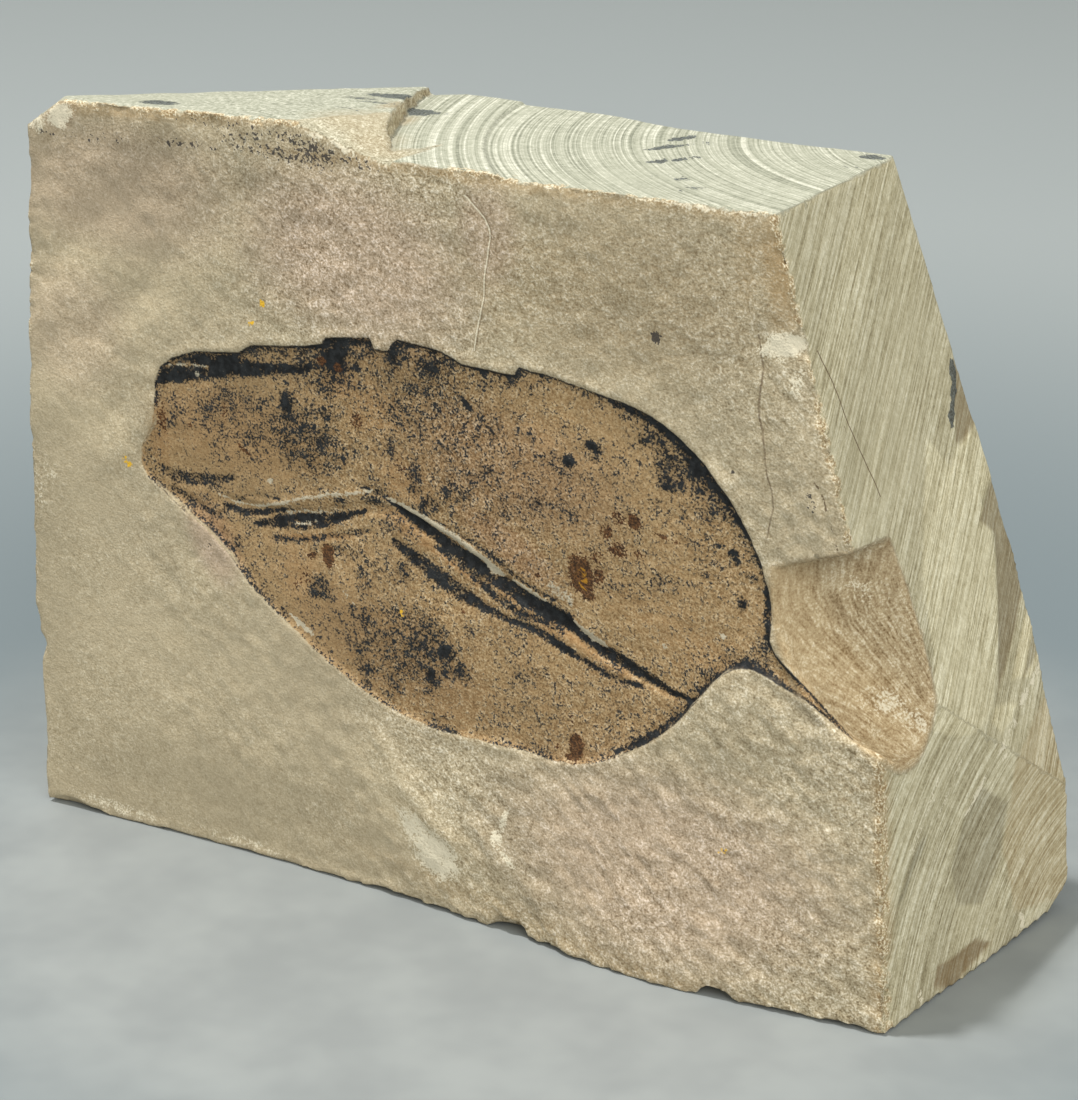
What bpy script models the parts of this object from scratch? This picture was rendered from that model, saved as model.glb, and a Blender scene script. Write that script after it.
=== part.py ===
"""A fossil leaf plate: one trimmed block of fine siltstone with a pressed leaf on its split face.

The block stands on its sawn base. Its front is a split bedding surface that carries the leaf, its
top was cut with a disc, its right end was ground flat in two planes, and the rest is rough rock.
Lengths below are in millimetres. The working origin is the lower left corner of the front face:
X runs along the front, Y into the stone, Z up. The finished block is moved so that the origin of
the scene is under the middle of it.
"""
import math

import bmesh
import bpy
from mathutils import Euler, Matrix, Vector, noise

MM = 0.001

# Driving sizes of the block
FRONT_LENGTH = 120.0
BASE_THICKNESS = 40.8
HEIGHT = 95.0
SPARE_ROCK = 7.0

# Middle of the finished base in the working frame, which becomes the origin of the scene
BASE_MIDDLE = (61.93, 20.58, 0.0)

# Sawn, ground and broken planes: a point on each, and the side that is waste
LEFT_END = ((-1.1, 0.0, 0.0), (-1.0, -0.03, 0.042))
RIGHT_END_UPPER = ((102.8, 0.0, 92.5), (1.0, 0.03, 0.295))
RIGHT_END_LOWER = ((FRONT_LENGTH, 0.0, 0.0), (1.0, -0.13, 0.064))
BACK_UPPER = ((60.0, 43.4, 31.0), (0.0, 1.0, 0.178))
BACK_LEFT_BEVEL = ((6.0, 2.2, 93.5), (-0.50, 0.58, 0.64))
BACK_RIGHT_BEVEL = ((115.7, 40.7, 44.0), (0.80, 0.55, 0.33))
BACK_RIGHT_FOOT = ((124.6, 36.2, 0.0), (0.50, 0.45, -0.74))
TOP_LEFT = ((10.0, 0.0, 94.0), (-0.03, 0.05, 1.0))
TOP_LEFT_CORNER = ((3.8, 0.0, 90.8), (-0.55, -0.25, 0.80))

# The cutting disc bit into the top twice, and left two arcs: centre, radius and floor of each
DISC_BITES = (
    ("disc_bite", (138.3, 59.0), 102.0, 92.0),
    ("disc_bite_deeper", (117.5, 47.3), 67.3, 91.6),
)

# Swells and hollows of the split front: x, z, height towards the viewer, spread in x and in z
FRONT_SWELLS = (
    (90.0, -2.0, 3.4, 13.0, 13.0),
    (112.0, 6.0, 0.8, 10.0, 16.0),
    (101.0, 36.0, 1.1, 5.0, 4.5),
    (30.0, 2.0, -1.3, 22.0, 6.0),
    (62.0, 12.0, 0.7, 6.0, 9.0),
    (16.0, 76.0, -0.8, 13.0, 9.0),
    (3.0, 58.0, 0.9, 5.0, 16.0),
    (60.0, 84.0, 0.5, 18.0, 9.0),
    (94.0, 82.0, -0.5, 14.0, 10.0),
)
FRONT_ROUGHNESS = 0.25
LEFT_ROUGHNESS = 1.1

# The hewn back has a step, down towards the right end
BACK_ROUGHNESS = 0.8
BACK_STEP = 3.2
BACK_STEP_PLACE = 82.0
BACK_STEP_SPREAD = 2.6

# Margin of the leaf, as x and z on the front. The upper left margin is torn into small steps.
TORN_MARGIN = (
    (20.0, 55.4), (20.3, 58.4), (20.2, 60.3), (21.1, 62.6), (23.0, 64.0), (26.4, 65.3),
    (33.0, 66.2), (35.0, 67.4), (42.5, 68.4), (45.3, 69.1), (45.7, 69.9), (51.9, 70.8),
    (52.6, 69.6), (54.3, 69.6), (55.7, 71.2), (61.5, 70.8), (64.6, 69.6), (71.3, 69.3),
    (72.0, 70.3), (75.7, 69.9),
)
SMOOTH_MARGIN = (
    (82.5, 68.7), (88.3, 67.5), (94.0, 64.0), (98.6, 59.3), (102.0, 53.8), (104.0, 47.5),
    (104.1, 44.0), (105.6, 41.6), (109.6, 38.6), (114.6, 34.4), (109.0, 37.7), (104.4, 39.9),
    (101.2, 40.4), (98.4, 39.0), (95.4, 35.3), (92.2, 31.4), (86.9, 27.1), (79.2, 23.7),
    (71.3, 23.9), (61.2, 24.0), (53.3, 25.3), (47.9, 27.8), (42.6, 30.8), (34.2, 36.7),
    (28.9, 42.2), (21.8, 46.4), (17.7, 50.1),
)
LEAF_SINK = 0.45
MIDRIB_VALLEY = 0.55
MIDRIB_VALLEY_SPREAD = 6.0

# Midrib: x, z and the groove's half width along it, from the leaf's tip to its stalk
MIDRIB = (
    (29.0, 47.2, 0.5), (36.0, 46.6, 1.0), (43.5, 47.4, 1.3), (50.0, 49.6, 0.9), (54.5, 50.0, 0.9),
    (61.5, 47.6, 1.1), (68.5, 44.4, 1.3), (76.0, 41.0, 1.2), (83.0, 37.7, 1.0), (89.0, 35.4, 0.7),
    (93.5, 34.3, 0.4),
)
MIDRIB_DEPTH = 0.55

# Flake scar beside the leaf's stalk: an ellipsoid of lost rock, shut above by a ledge
SCAR_CENTRE = (156.4, 0.0, 90.0)
SCAR_RADII = (17.0, 40.0, 71.0)
SCAR_TURN = (-35.3, 14.6, -75.0)
SCAR_LEDGE = ((104.9, 0.0, 52.8), (-0.34, 0.12, 0.93))

# Small chips: centre and the three radii of the lost rock, all turned a little
CHIP_TURN = (5.0, 8.0, 12.0)
CHIPS = (
    ("corner_flake", (107.5, -3.2, 87.0), (6.2, 4.2, 9.5)),
    ("corner_flake_foot", (107.5, -1.9, 77.8), (4.8, 3.0, 2.6)),
    ("left_edge_notch", (-1.6, -1.6, 22.4), (3.2, 3.4, 2.6)),
    ("base_chip", (70.7, -2.2, -0.6), (3.4, 3.2, 3.0)),
    ("base_notch", (99.4, -2.7, -0.37), (2.2, 3.0, 1.5)),
    ("left_foot_chip", (3.0, -1.5, -0.8), (5.0, 3.4, 2.2)),
    ("top_edge_chip", (93.0, -2.0, 93.4), (8.0, 3.6, 2.4)),
)

# Rough chip on the front top edge, left of the disc bite: a tilted box of lost rock
TOP_CHIP_CENTRE = (47.7, 5.5, 98.4)
TOP_CHIP_SIZE = (19.0, 26.0, 8.0)
TOP_CHIP_TURN = (7.0, 15.5, 0.0)

GRID_CELL = 4.4
LEAF_CELL = 2.3


def collection(name):
    """A new collection in the scene."""
    made = bpy.data.collections.new(name)
    bpy.context.scene.collection.children.link(made)
    return made


def millimetres(point):
    """A point given in millimetres, in metres."""
    return Vector(point) * MM


def add_object(name, mesh, home):
    """An object for a mesh, in one collection."""
    made = bpy.data.objects.new(name, mesh)
    home.objects.link(made)
    return made


def as_cutter(made):
    """Show an object as wire only, since it stands for rock that is gone."""
    made.display_type = "WIRE"
    made.hide_render = True
    return made


def cut(target, cutter, operation="DIFFERENCE"):
    """Add one exact boolean to an object."""
    boolean = target.modifiers.new(cutter.name, "BOOLEAN")
    boolean.operation = operation
    boolean.solver = "EXACT"
    boolean.object = cutter


def mesh_from(bm, name):
    """A mesh of flat triangles from a bmesh, turned outwards."""
    bmesh.ops.recalc_face_normals(bm, faces=bm.faces[:])
    bmesh.ops.triangulate(bm, faces=bm.faces[:])
    mesh = bpy.data.meshes.new(name)
    bm.to_mesh(mesh)
    bm.free()
    return mesh


def trim(bm, point, waste_side):
    """Cut a convex body along a plane, drop the waste side and close the cut."""
    geometry = bm.verts[:] + bm.edges[:] + bm.faces[:]
    result = bmesh.ops.bisect_plane(
        bm,
        geom=geometry,
        dist=1e-7,
        plane_co=millimetres(point),
        plane_no=Vector(waste_side).normalized(),
        clear_outer=True,
    )
    rim = [item for item in result["geom_cut"] if isinstance(item, bmesh.types.BMEdge)]
    bmesh.ops.contextual_create(bm, geom=rim)


def smooth_bump(distance):
    """A bell curve of the distance in spreads."""
    return math.exp(-0.5 * distance * distance)


def rough(x, z, grain, offset):
    """Even, repeatable unevenness between -1 and 1, with two sizes of lump."""
    coarse = noise.noise(Vector((x / grain, offset, z / grain)))
    fine = noise.noise(Vector((2.3 * x / grain, offset + 7.0, 2.3 * z / grain)))
    return 0.7 * coarse + 0.3 * fine


def front_height(x, z):
    """How far the split front stands out towards the viewer at one place."""
    height = FRONT_ROUGHNESS * rough(x, z, 14.0, 1.5)
    for swell_x, swell_z, swell, spread_x, spread_z in FRONT_SWELLS:
        across = (x - swell_x) / spread_x
        upward = (z - swell_z) / spread_z
        height += swell * smooth_bump(math.hypot(across, upward))
    return height


def midrib_distance(x, z):
    """Distance in the front plane to the line of the midrib."""
    place = Vector((x, z))
    nearest = 1000.0
    for start, end in zip(MIDRIB[:-1], MIDRIB[1:]):
        first = Vector(start[:2])
        along = Vector(end[:2]) - first
        share = (place - first).dot(along) / along.length_squared
        share = min(max(share, 0.0), 1.0)
        nearest = min(nearest, (place - first - along * share).length)
    return nearest


def leaf_height(x, z):
    """The leaf lies a little under the bedding, and both halves slope down to the midrib."""
    valley = MIDRIB_VALLEY * smooth_bump(midrib_distance(x, z) / MIDRIB_VALLEY_SPREAD)
    return front_height(x, z) - LEAF_SINK - valley


def left_height(y, z):
    """The rough break of the left end."""
    return LEFT_ROUGHNESS * rough(y, z, 11.0, 20.5)


def back_height(x, z):
    """The hewn back, which steps in to the right where a thicker bed came away."""
    step = BACK_STEP / (1.0 + math.exp((x + 0.15 * z - BACK_STEP_PLACE) / BACK_STEP_SPREAD))
    return BACK_ROUGHNESS * rough(x, z, 17.0, 33.5) + step


def waste_slab(name, home, corner, along, outward, extent, cell, height):
    """The rock that came away from one face: a slab whose inner side holds that face's relief."""
    along = Vector(along)
    outward = Vector(outward).normalized()
    upward = Vector((0.0, 0.0, 1.0))
    upward = (upward - outward * upward.dot(outward)).normalized()
    length, rise = extent
    bm = bmesh.new()
    columns = round(length / cell)
    rows = round(rise / cell)
    bmesh.ops.create_grid(bm, x_segments=columns, y_segments=rows, size=0.5)
    for vertex in bm.verts:
        reach = (vertex.co.x + 0.5) * length
        lift = (vertex.co.y + 0.5) * rise
        flat = Vector(corner) + along * reach + upward * lift
        flat_reach = flat.dot(along)
        vertex.co = millimetres(flat + outward * height(flat_reach, flat.z))
    thickness = 2.0 * SPARE_ROCK
    lifted = bmesh.ops.extrude_face_region(bm, geom=bm.faces[:])
    outer = [item for item in lifted["geom"] if isinstance(item, bmesh.types.BMVert)]
    bmesh.ops.translate(bm, verts=outer, vec=outward * thickness * MM)
    return as_cutter(add_object(name, mesh_from(bm, name), home))


def outline_prism(name, home, torn, smooth, depth):
    """A closed prism of the leaf's outline, standing across the front face."""
    curve = bpy.data.curves.new(name, "CURVE")
    curve.dimensions = "2D"
    curve.fill_mode = "BOTH"
    curve.extrude = depth / 2.0 * MM
    curve.resolution_u = 3
    margin = curve.splines.new("BEZIER")
    margin.use_cyclic_u = True
    margin.bezier_points.add(len(torn) + len(smooth) - 1)
    handles = ["VECTOR"] * len(torn) + ["AUTO"] * len(smooth)
    for knot, place, handle in zip(margin.bezier_points, torn + smooth, handles):
        knot.co = (place[0] * MM, place[1] * MM, 0.0)
        knot.handle_left_type = handle
        knot.handle_right_type = handle
    drawn = add_object(name + "_outline", curve, home)
    drawn.rotation_euler = (math.pi / 2.0, 0.0, 0.0)
    return as_cutter(mesh_of_curve(name, drawn, home))


def mesh_of_curve(name, drawn, home):
    """A welded mesh object in place of a curve object."""
    bpy.context.view_layer.update()
    graph = bpy.context.evaluated_depsgraph_get()
    mesh = bpy.data.meshes.new_from_object(drawn.evaluated_get(graph))
    bm = bmesh.new()
    bm.from_mesh(mesh)
    bmesh.ops.remove_doubles(bm, verts=bm.verts[:], dist=1e-7)
    bmesh.ops.recalc_face_normals(bm, faces=bm.faces[:])
    bmesh.ops.triangulate(bm, faces=bm.faces[:])
    bm.to_mesh(mesh)
    bm.free()
    made = add_object(name, mesh, home)
    made.matrix_world = drawn.matrix_world
    bpy.data.objects.remove(drawn)
    return made


def midrib_tube(name, home):
    """A tapering tube along the midrib that is sunk into the leaf by the groove's depth."""
    curve = bpy.data.curves.new(name, "CURVE")
    curve.dimensions = "3D"
    curve.bevel_depth = 1.0 * MM
    curve.bevel_resolution = 2
    curve.use_fill_caps = True
    line = curve.splines.new("POLY")
    line.points.add(len(MIDRIB) - 1)
    for knot, (x, z, half_width) in zip(line.points, MIDRIB):
        sunk = min(MIDRIB_DEPTH, 0.7 * half_width)
        radius = (half_width * half_width + sunk * sunk) / (2.0 * sunk)
        surface = -leaf_height(x, z)
        knot.co = (x * MM, (surface + sunk - radius) * MM, z * MM, 1.0)
        knot.radius = radius
    drawn = add_object(name + "_line", curve, home)
    return as_cutter(mesh_of_curve(name, drawn, home))


def ellipsoid(name, home, centre, radii, turn=(0.0, 0.0, 0.0), segments=16, rings=10):
    """A closed ellipsoid of lost rock."""
    bm = bmesh.new()
    bmesh.ops.create_uvsphere(bm, u_segments=segments, v_segments=rings, radius=1.0)
    angles = Euler([math.radians(angle) for angle in turn], "XYZ")
    stretch = Matrix.Diagonal(millimetres(radii)).to_4x4()
    place = Matrix.Translation(millimetres(centre)) @ angles.to_matrix().to_4x4() @ stretch
    bmesh.ops.transform(bm, matrix=place, verts=bm.verts[:])
    return as_cutter(add_object(name, mesh_from(bm, name), home))


def flake_scar(name, home):
    """The large flake beside the stalk, with its flat ledge."""
    made = ellipsoid(name, home, SCAR_CENTRE, SCAR_RADII, SCAR_TURN, segments=40, rings=28)
    bm = bmesh.new()
    bm.from_mesh(made.data)
    trim(bm, *SCAR_LEDGE)
    bmesh.ops.recalc_face_normals(bm, faces=bm.faces[:])
    bm.to_mesh(made.data)
    bm.free()
    return made


def disc_bite(name, home, centre, radius, floor):
    """One plunge of the cutting disc, as a low cylinder over the top."""
    bm = bmesh.new()
    height = HEIGHT + SPARE_ROCK - floor
    bmesh.ops.create_cone(
        bm,
        cap_ends=True,
        segments=96,
        radius1=radius * MM,
        radius2=(radius + 1.0) * MM,
        depth=height * MM,
    )
    place = millimetres((centre[0], centre[1], floor + height / 2.0))
    bmesh.ops.translate(bm, verts=bm.verts[:], vec=place)
    return as_cutter(add_object(name, mesh_from(bm, name), home))


def tilted_box(name, home, centre, size, turn):
    """A box of lost rock, turned in place."""
    bm = bmesh.new()
    bmesh.ops.create_cube(bm, size=1.0)
    angles = Euler([math.radians(angle) for angle in turn], "XYZ")
    stretch = Matrix.Diagonal(millimetres(size)).to_4x4()
    place = Matrix.Translation(millimetres(centre)) @ angles.to_matrix().to_4x4() @ stretch
    bmesh.ops.transform(bm, matrix=place, verts=bm.verts[:])
    return as_cutter(add_object(name, mesh_from(bm, name), home))


def quarried_block(name, home):
    """The block before its faces are dressed: a box trimmed by every flat cut."""
    bm = bmesh.new()
    bmesh.ops.create_cube(bm, size=1.0)
    size = (
        FRONT_LENGTH + 2.0 * SPARE_ROCK,
        BASE_THICKNESS + 2.0 * SPARE_ROCK,
        HEIGHT + SPARE_ROCK,
    )
    stretch = Matrix.Diagonal(millimetres(size)).to_4x4()
    middle = (FRONT_LENGTH / 2.0, BASE_THICKNESS / 2.0, size[2] / 2.0)
    bmesh.ops.transform(bm, matrix=Matrix.Translation(millimetres(middle)) @ stretch, verts=bm.verts[:])
    trim(bm, *RIGHT_END_UPPER)
    trim(bm, *RIGHT_END_LOWER)
    trim(bm, *TOP_LEFT)
    return add_object(name, mesh_from(bm, name), home)


def trim_object(made, *planes):
    """Apply an object's booleans, then trim it by more planes."""
    graph = bpy.context.evaluated_depsgraph_get()
    mesh = bpy.data.meshes.new_from_object(made.evaluated_get(graph))
    made.modifiers.clear()
    bm = bmesh.new()
    bm.from_mesh(mesh)
    for point, waste_side in planes:
        trim(bm, point, waste_side)
    bmesh.ops.recalc_face_normals(bm, faces=bm.faces[:])
    bm.to_mesh(mesh)
    bm.free()
    made.data = mesh


def siltstone():
    """Grey beige siltstone, dull and dry."""
    made = bpy.data.materials.new("siltstone")
    made.use_nodes = True
    shader = made.node_tree.nodes["Principled BSDF"]
    shader.inputs["Base Color"].default_value = (0.43, 0.37, 0.29, 1.0)
    shader.inputs["Roughness"].default_value = 0.85
    shader.inputs["Metallic"].default_value = 0.0
    return made


for old in list(bpy.data.objects):
    bpy.data.objects.remove(old)

parts = collection("fossil_leaf_plate")
cutters = collection("lost_rock")

slab = quarried_block("fossil_slab", parts)

front_waste = waste_slab(
    "front_bed", cutters, (-SPARE_ROCK, 0.0, -SPARE_ROCK), (1.0, 0.0, 0.0), (0.0, -1.0, 0.0),
    (FRONT_LENGTH + 2.0 * SPARE_ROCK, HEIGHT + 2.0 * SPARE_ROCK), GRID_CELL, front_height,
)
cut(slab, front_waste)

left_point, left_out = LEFT_END
left_waste = waste_slab(
    "left_break", cutters, (left_point[0], -SPARE_ROCK, -SPARE_ROCK), (0.0, 1.0, 0.0), left_out,
    (BASE_THICKNESS + 2.0 * SPARE_ROCK, HEIGHT + 2.0 * SPARE_ROCK), GRID_CELL, left_height,
)
cut(slab, left_waste)

back_waste = waste_slab(
    "back_hewn", cutters, (-SPARE_ROCK, BASE_THICKNESS, -SPARE_ROCK), (1.0, 0.0, 0.0), (0.0, 1.0, 0.0),
    (FRONT_LENGTH + 2.0 * SPARE_ROCK, HEIGHT + 2.0 * SPARE_ROCK), GRID_CELL, back_height,
)
cut(slab, back_waste)

lean = Vector(BACK_UPPER[1]).normalized()
back_point = Vector(BACK_UPPER[0])
back_point.x = -SPARE_ROCK
upper_back_waste = waste_slab(
    "back_upper_hewn", cutters, back_point - Vector((0.0, -lean.z, lean.y)) * 40.0, (1.0, 0.0, 0.0), lean,
    (FRONT_LENGTH + 2.0 * SPARE_ROCK, HEIGHT + 3.0 * SPARE_ROCK), GRID_CELL, back_height,
)
cut(slab, upper_back_waste)

for bite_name, bite_centre, bite_radius, bite_floor in DISC_BITES:
    cut(slab, disc_bite(bite_name, cutters, bite_centre, bite_radius, bite_floor))

leaf = outline_prism("leaf_impression", cutters, TORN_MARGIN, SMOOTH_MARGIN, 2.0 * SPARE_ROCK)
leaf_bed = waste_slab(
    "leaf_bed", cutters, (14.0, 0.0, 20.0), (1.0, 0.0, 0.0), (0.0, -1.0, 0.0),
    (104.0, 54.0), LEAF_CELL, leaf_height,
)
cut(leaf, leaf_bed, "INTERSECT")
cut(slab, leaf)
cut(slab, midrib_tube("midrib_groove", cutters))

cut(slab, flake_scar("flake_scar", cutters))
for chip_name, chip_centre, chip_radii in CHIPS:
    cut(slab, ellipsoid(chip_name, cutters, chip_centre, chip_radii, CHIP_TURN))
cut(slab, tilted_box("top_edge_break", cutters, TOP_CHIP_CENTRE, TOP_CHIP_SIZE, TOP_CHIP_TURN))

bpy.context.view_layer.update()
trim_object(slab, TOP_LEFT_CORNER, BACK_LEFT_BEVEL, BACK_RIGHT_BEVEL, BACK_RIGHT_FOOT)
slab.data.transform(Matrix.Translation(-millimetres(BASE_MIDDLE)))
slab.data.materials.clear()
slab.data.materials.append(siltstone())
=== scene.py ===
"""A fossil leaf plate, dressed for its render.

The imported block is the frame. A dense copy of it gets the relief that the tools, the break and the
leaf left in the stone, and one material that is painted by what happened at each place.
"""

import itertools
import math

import bmesh
import bpy
import numpy as np
from mathutils import Euler, Matrix, Vector


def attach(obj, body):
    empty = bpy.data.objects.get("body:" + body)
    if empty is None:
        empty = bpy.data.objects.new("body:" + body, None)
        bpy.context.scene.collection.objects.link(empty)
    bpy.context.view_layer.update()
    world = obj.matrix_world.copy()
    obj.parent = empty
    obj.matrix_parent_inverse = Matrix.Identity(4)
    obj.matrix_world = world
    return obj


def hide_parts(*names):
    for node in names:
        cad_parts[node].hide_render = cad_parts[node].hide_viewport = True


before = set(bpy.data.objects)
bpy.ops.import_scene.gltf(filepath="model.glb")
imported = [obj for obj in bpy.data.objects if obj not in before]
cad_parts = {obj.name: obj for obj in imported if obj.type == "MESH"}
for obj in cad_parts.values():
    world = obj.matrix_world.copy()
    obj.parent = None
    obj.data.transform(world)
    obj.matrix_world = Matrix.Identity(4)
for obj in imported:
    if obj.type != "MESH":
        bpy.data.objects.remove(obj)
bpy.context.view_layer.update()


# The block: one piece of fine siltstone, split from its bed, sawn below, cut above with a disc and
# ground flat at its right end. It starts as a dense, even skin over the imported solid.
MM = 0.001
SKIN_CELL = 0.32
# The skin is thinned to this many triangles: marked faces less than the plain ones, the leaf least
TRIANGLES = 194000
MARKED_THINNING = 0.5
LEAF_THINNING = 0.1
THINNING_PULL = 6.0e-6
# Lower left corner of the split front, from which every place below is measured in millimetres
FRONT_CORNER = np.array((-61.93, -20.58, 0.0))

RIGHT_UPPER = ((102.8, 0.0, 92.5), (1.0, 0.03, 0.295))
RIGHT_LOWER = ((120.0, 0.0, 0.0), (1.0, -0.13, 0.064))
LEFT_END = ((-1.1, 0.0, 0.0), (-1.0, -0.03, 0.042))
DISC_CENTRES = ((138.3, 58.9, 102.0), (117.5, 47.3, 67.3))
BITE_FLOOR = 92.0
SCAR_CENTRE = (156.4, 0.0, 90.0)
SCAR_RADII = (17.0, 40.0, 71.0)
SCAR_TURN = (-35.3, 14.6, -75.0)
SCAR_LEDGE = ((104.9, 0.0, 52.8), (-0.34, 0.12, 0.93))
BREAK_CENTRE = (47.7, 5.5, 98.4)
BREAK_SIZE = (19.0, 26.0, 8.0)
BREAK_TURN = (7.0, 15.5, 0.0)
FOOT_LIFT = 0.75


def dense_skin(name, node, cell):
    """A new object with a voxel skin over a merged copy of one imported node."""
    welded = bmesh.new()
    welded.from_mesh(node.data)
    bmesh.ops.remove_doubles(welded, verts=welded.verts[:], dist=1e-6)
    mesh = bpy.data.meshes.new(name)
    welded.to_mesh(mesh)
    welded.free()
    made = bpy.data.objects.new(name, mesh)
    bpy.context.scene.collection.objects.link(made)
    skin = made.modifiers.new("skin", "REMESH")
    skin.mode = "VOXEL"
    skin.voxel_size = cell * MM
    bake_modifiers(made)
    return made


def bake_modifiers(made):
    """Turn what an object's modifiers give into its plain mesh."""
    graph = bpy.context.evaluated_depsgraph_get()
    mesh = bpy.data.meshes.new_from_object(made.evaluated_get(graph))
    made.modifiers.clear()
    made.data = mesh


def read_places(mesh):
    """Every vertex in millimetres from the front corner, and its normal."""
    count = len(mesh.vertices)
    places = np.empty(count * 3)
    normals = np.empty(count * 3)
    mesh.vertices.foreach_get("co", places)
    mesh.vertices.foreach_get("normal", normals)
    return places.reshape(-1, 3) / MM - FRONT_CORNER, normals.reshape(-1, 3)


def write_places(mesh, places):
    """Put millimetre places back into a mesh."""
    mesh.vertices.foreach_set("co", ((places + FRONT_CORNER) * MM).ravel())
    mesh.update()


def ramp(value, low, high):
    """A smooth step from 0 at low to 1 at high."""
    share = np.clip((value - low) / (high - low), 0.0, 1.0)
    return share * share * (3.0 - 2.0 * share)


def bell(value, spread):
    """A bell curve of a distance."""
    return np.exp(-0.5 * np.square(value / spread))


def lattice(cells, seed):
    """A repeatable number between -1 and 1 for every lattice cell."""
    mixed = cells[:, 0] * 73856093 ^ cells[:, 1] * 19349663 ^ cells[:, 2] * 83492791 ^ seed * 97531
    mixed = (mixed ^ (mixed >> 13)) * 1274126177 & 0x7FFFFFFF
    return ((mixed ^ (mixed >> 16)) & 0xFFFF) / 32767.5 - 1.0


def lumps(places, size, seed):
    """Smooth noise between -1 and 1 with lumps of one size, or of one size for each axis."""
    scaled = places / np.asarray(size)
    base = np.floor(scaled).astype(np.int64)
    share = scaled - base
    share = share * share * (3.0 - 2.0 * share)
    total = np.zeros(len(places))
    for corner in itertools.product((0, 1), repeat=3):
        weight = np.prod(np.where(corner, share, 1.0 - share), axis=1)
        total += weight * lattice(base + np.array(corner), seed)
    return total


def plane_distance(places, plane):
    """Distance outwards from a plane, given as a point and a normal."""
    point, normal = plane
    unit = np.array(normal) / np.linalg.norm(normal)
    return (places - np.array(point)) @ unit


def in_own_axes(places, centre, sizes, turn):
    """Places in the own axes of a turned body, in units of its sizes."""
    angles = Euler([math.radians(angle) for angle in turn], "XYZ")
    turned = (places - np.array(centre)) @ np.array(angles.to_matrix())
    return turned / np.array(sizes)


def faces_of_block(places, normals):
    """How far every place belongs to each dressed or broken face, from 0 to 1."""
    x, y, z = places.T
    upper = plane_distance(places, RIGHT_UPPER)
    lower = plane_distance(places, RIGHT_LOWER)
    scar_reach = np.linalg.norm(in_own_axes(places, SCAR_CENTRE, SCAR_RADII, SCAR_TURN), axis=1)
    below_ledge = -plane_distance(places, SCAR_LEDGE)
    broken = in_own_axes(places, BREAK_CENTRE, np.array(BREAK_SIZE) / 2.0, BREAK_TURN)
    face = {}
    face["scar"] = (1.0 - ramp(scar_reach, 1.006, 1.02)) * ramp(below_ledge, -0.5, -0.1)
    face["break"] = ramp(-np.abs(broken[:, 2] + 1.0), -0.12, -0.06) * (np.abs(broken[:, 0]) < 1.03)
    face["break"] *= (np.abs(broken[:, 1]) < 1.03) * ramp(normals[:, 2], 0.3, 0.6)
    whole = (1.0 - face["scar"]) * (1.0 - face["break"])
    near_right = ramp(np.maximum(upper, lower), -0.9, -0.5)
    face["right"] = near_right * ramp(normals[:, 0], 0.4, 0.7) * whole
    face["right_low"] = face["right"] * ramp(lower - upper, -0.3, 0.3)
    face["top"] = ramp(normals[:, 2], 0.45, 0.75) * ramp(z, 90.0, 90.8) * whole
    face["bite"] = face["top"] * (1.0 - ramp(z, BITE_FLOOR + 0.5, BITE_FLOOR + 1.1))
    face["base"] = ramp(-normals[:, 2], 0.5, 0.8) * (z < 1.6)
    front = ramp(-normals[:, 1], 0.35, 0.65) * (y < 4.5) * whole
    face["front"] = front * (1.0 - face["right"]) * (1.0 - face["top"]) * (1.0 - face["base"])
    named = face["scar"] + face["break"] + face["right"] + face["top"] + face["base"] + face["front"]
    face["rough"] = np.clip(1.0 - named, 0.0, 1.0)
    return face


plate = dense_skin("fossil_plate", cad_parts["fossil_slab"], SKIN_CELL)


# The leaf: a pressed leaf whose carbon film lies a little under the bedding. Its upper left margin
# is torn into small steps, the rest is smooth, and the midrib is a bundle of grooves and ridges.
TORN_MARGIN = (
    (20, 55.4), (20.3, 58.4), (20.2, 60.3), (21.1, 62.6), (23, 64), (26.4, 65.3), (33, 66.2), (35, 67.4),
    (42.5, 68.4), (45.3, 69.1), (45.7, 69.9), (51.9, 70.8), (52.6, 69.6), (54.3, 69.6), (55.7, 71.2),
    (61.5, 70.8), (64.6, 69.6), (71.3, 69.3), (72, 70.3), (75.7, 69.9),
)
SMOOTH_MARGIN = (
    (82.5, 68.7), (88.3, 67.5), (94, 64), (98.6, 59.3), (102, 53.8), (104, 47.5), (104.1, 44),
    (105.6, 41.6), (109.6, 38.6), (114.6, 34.4), (109, 37.7), (104.4, 39.9), (101.2, 40.4), (98.4, 39),
    (95.4, 35.3), (92.2, 31.4), (86.9, 27.1), (79.2, 23.7), (71.3, 23.9), (61.2, 24), (53.3, 25.3),
    (47.9, 27.8), (42.6, 30.8), (34.2, 36.7), (28.9, 42.2), (21.8, 46.4), (17.7, 50.1),
)
STALK_START = 104.2
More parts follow.
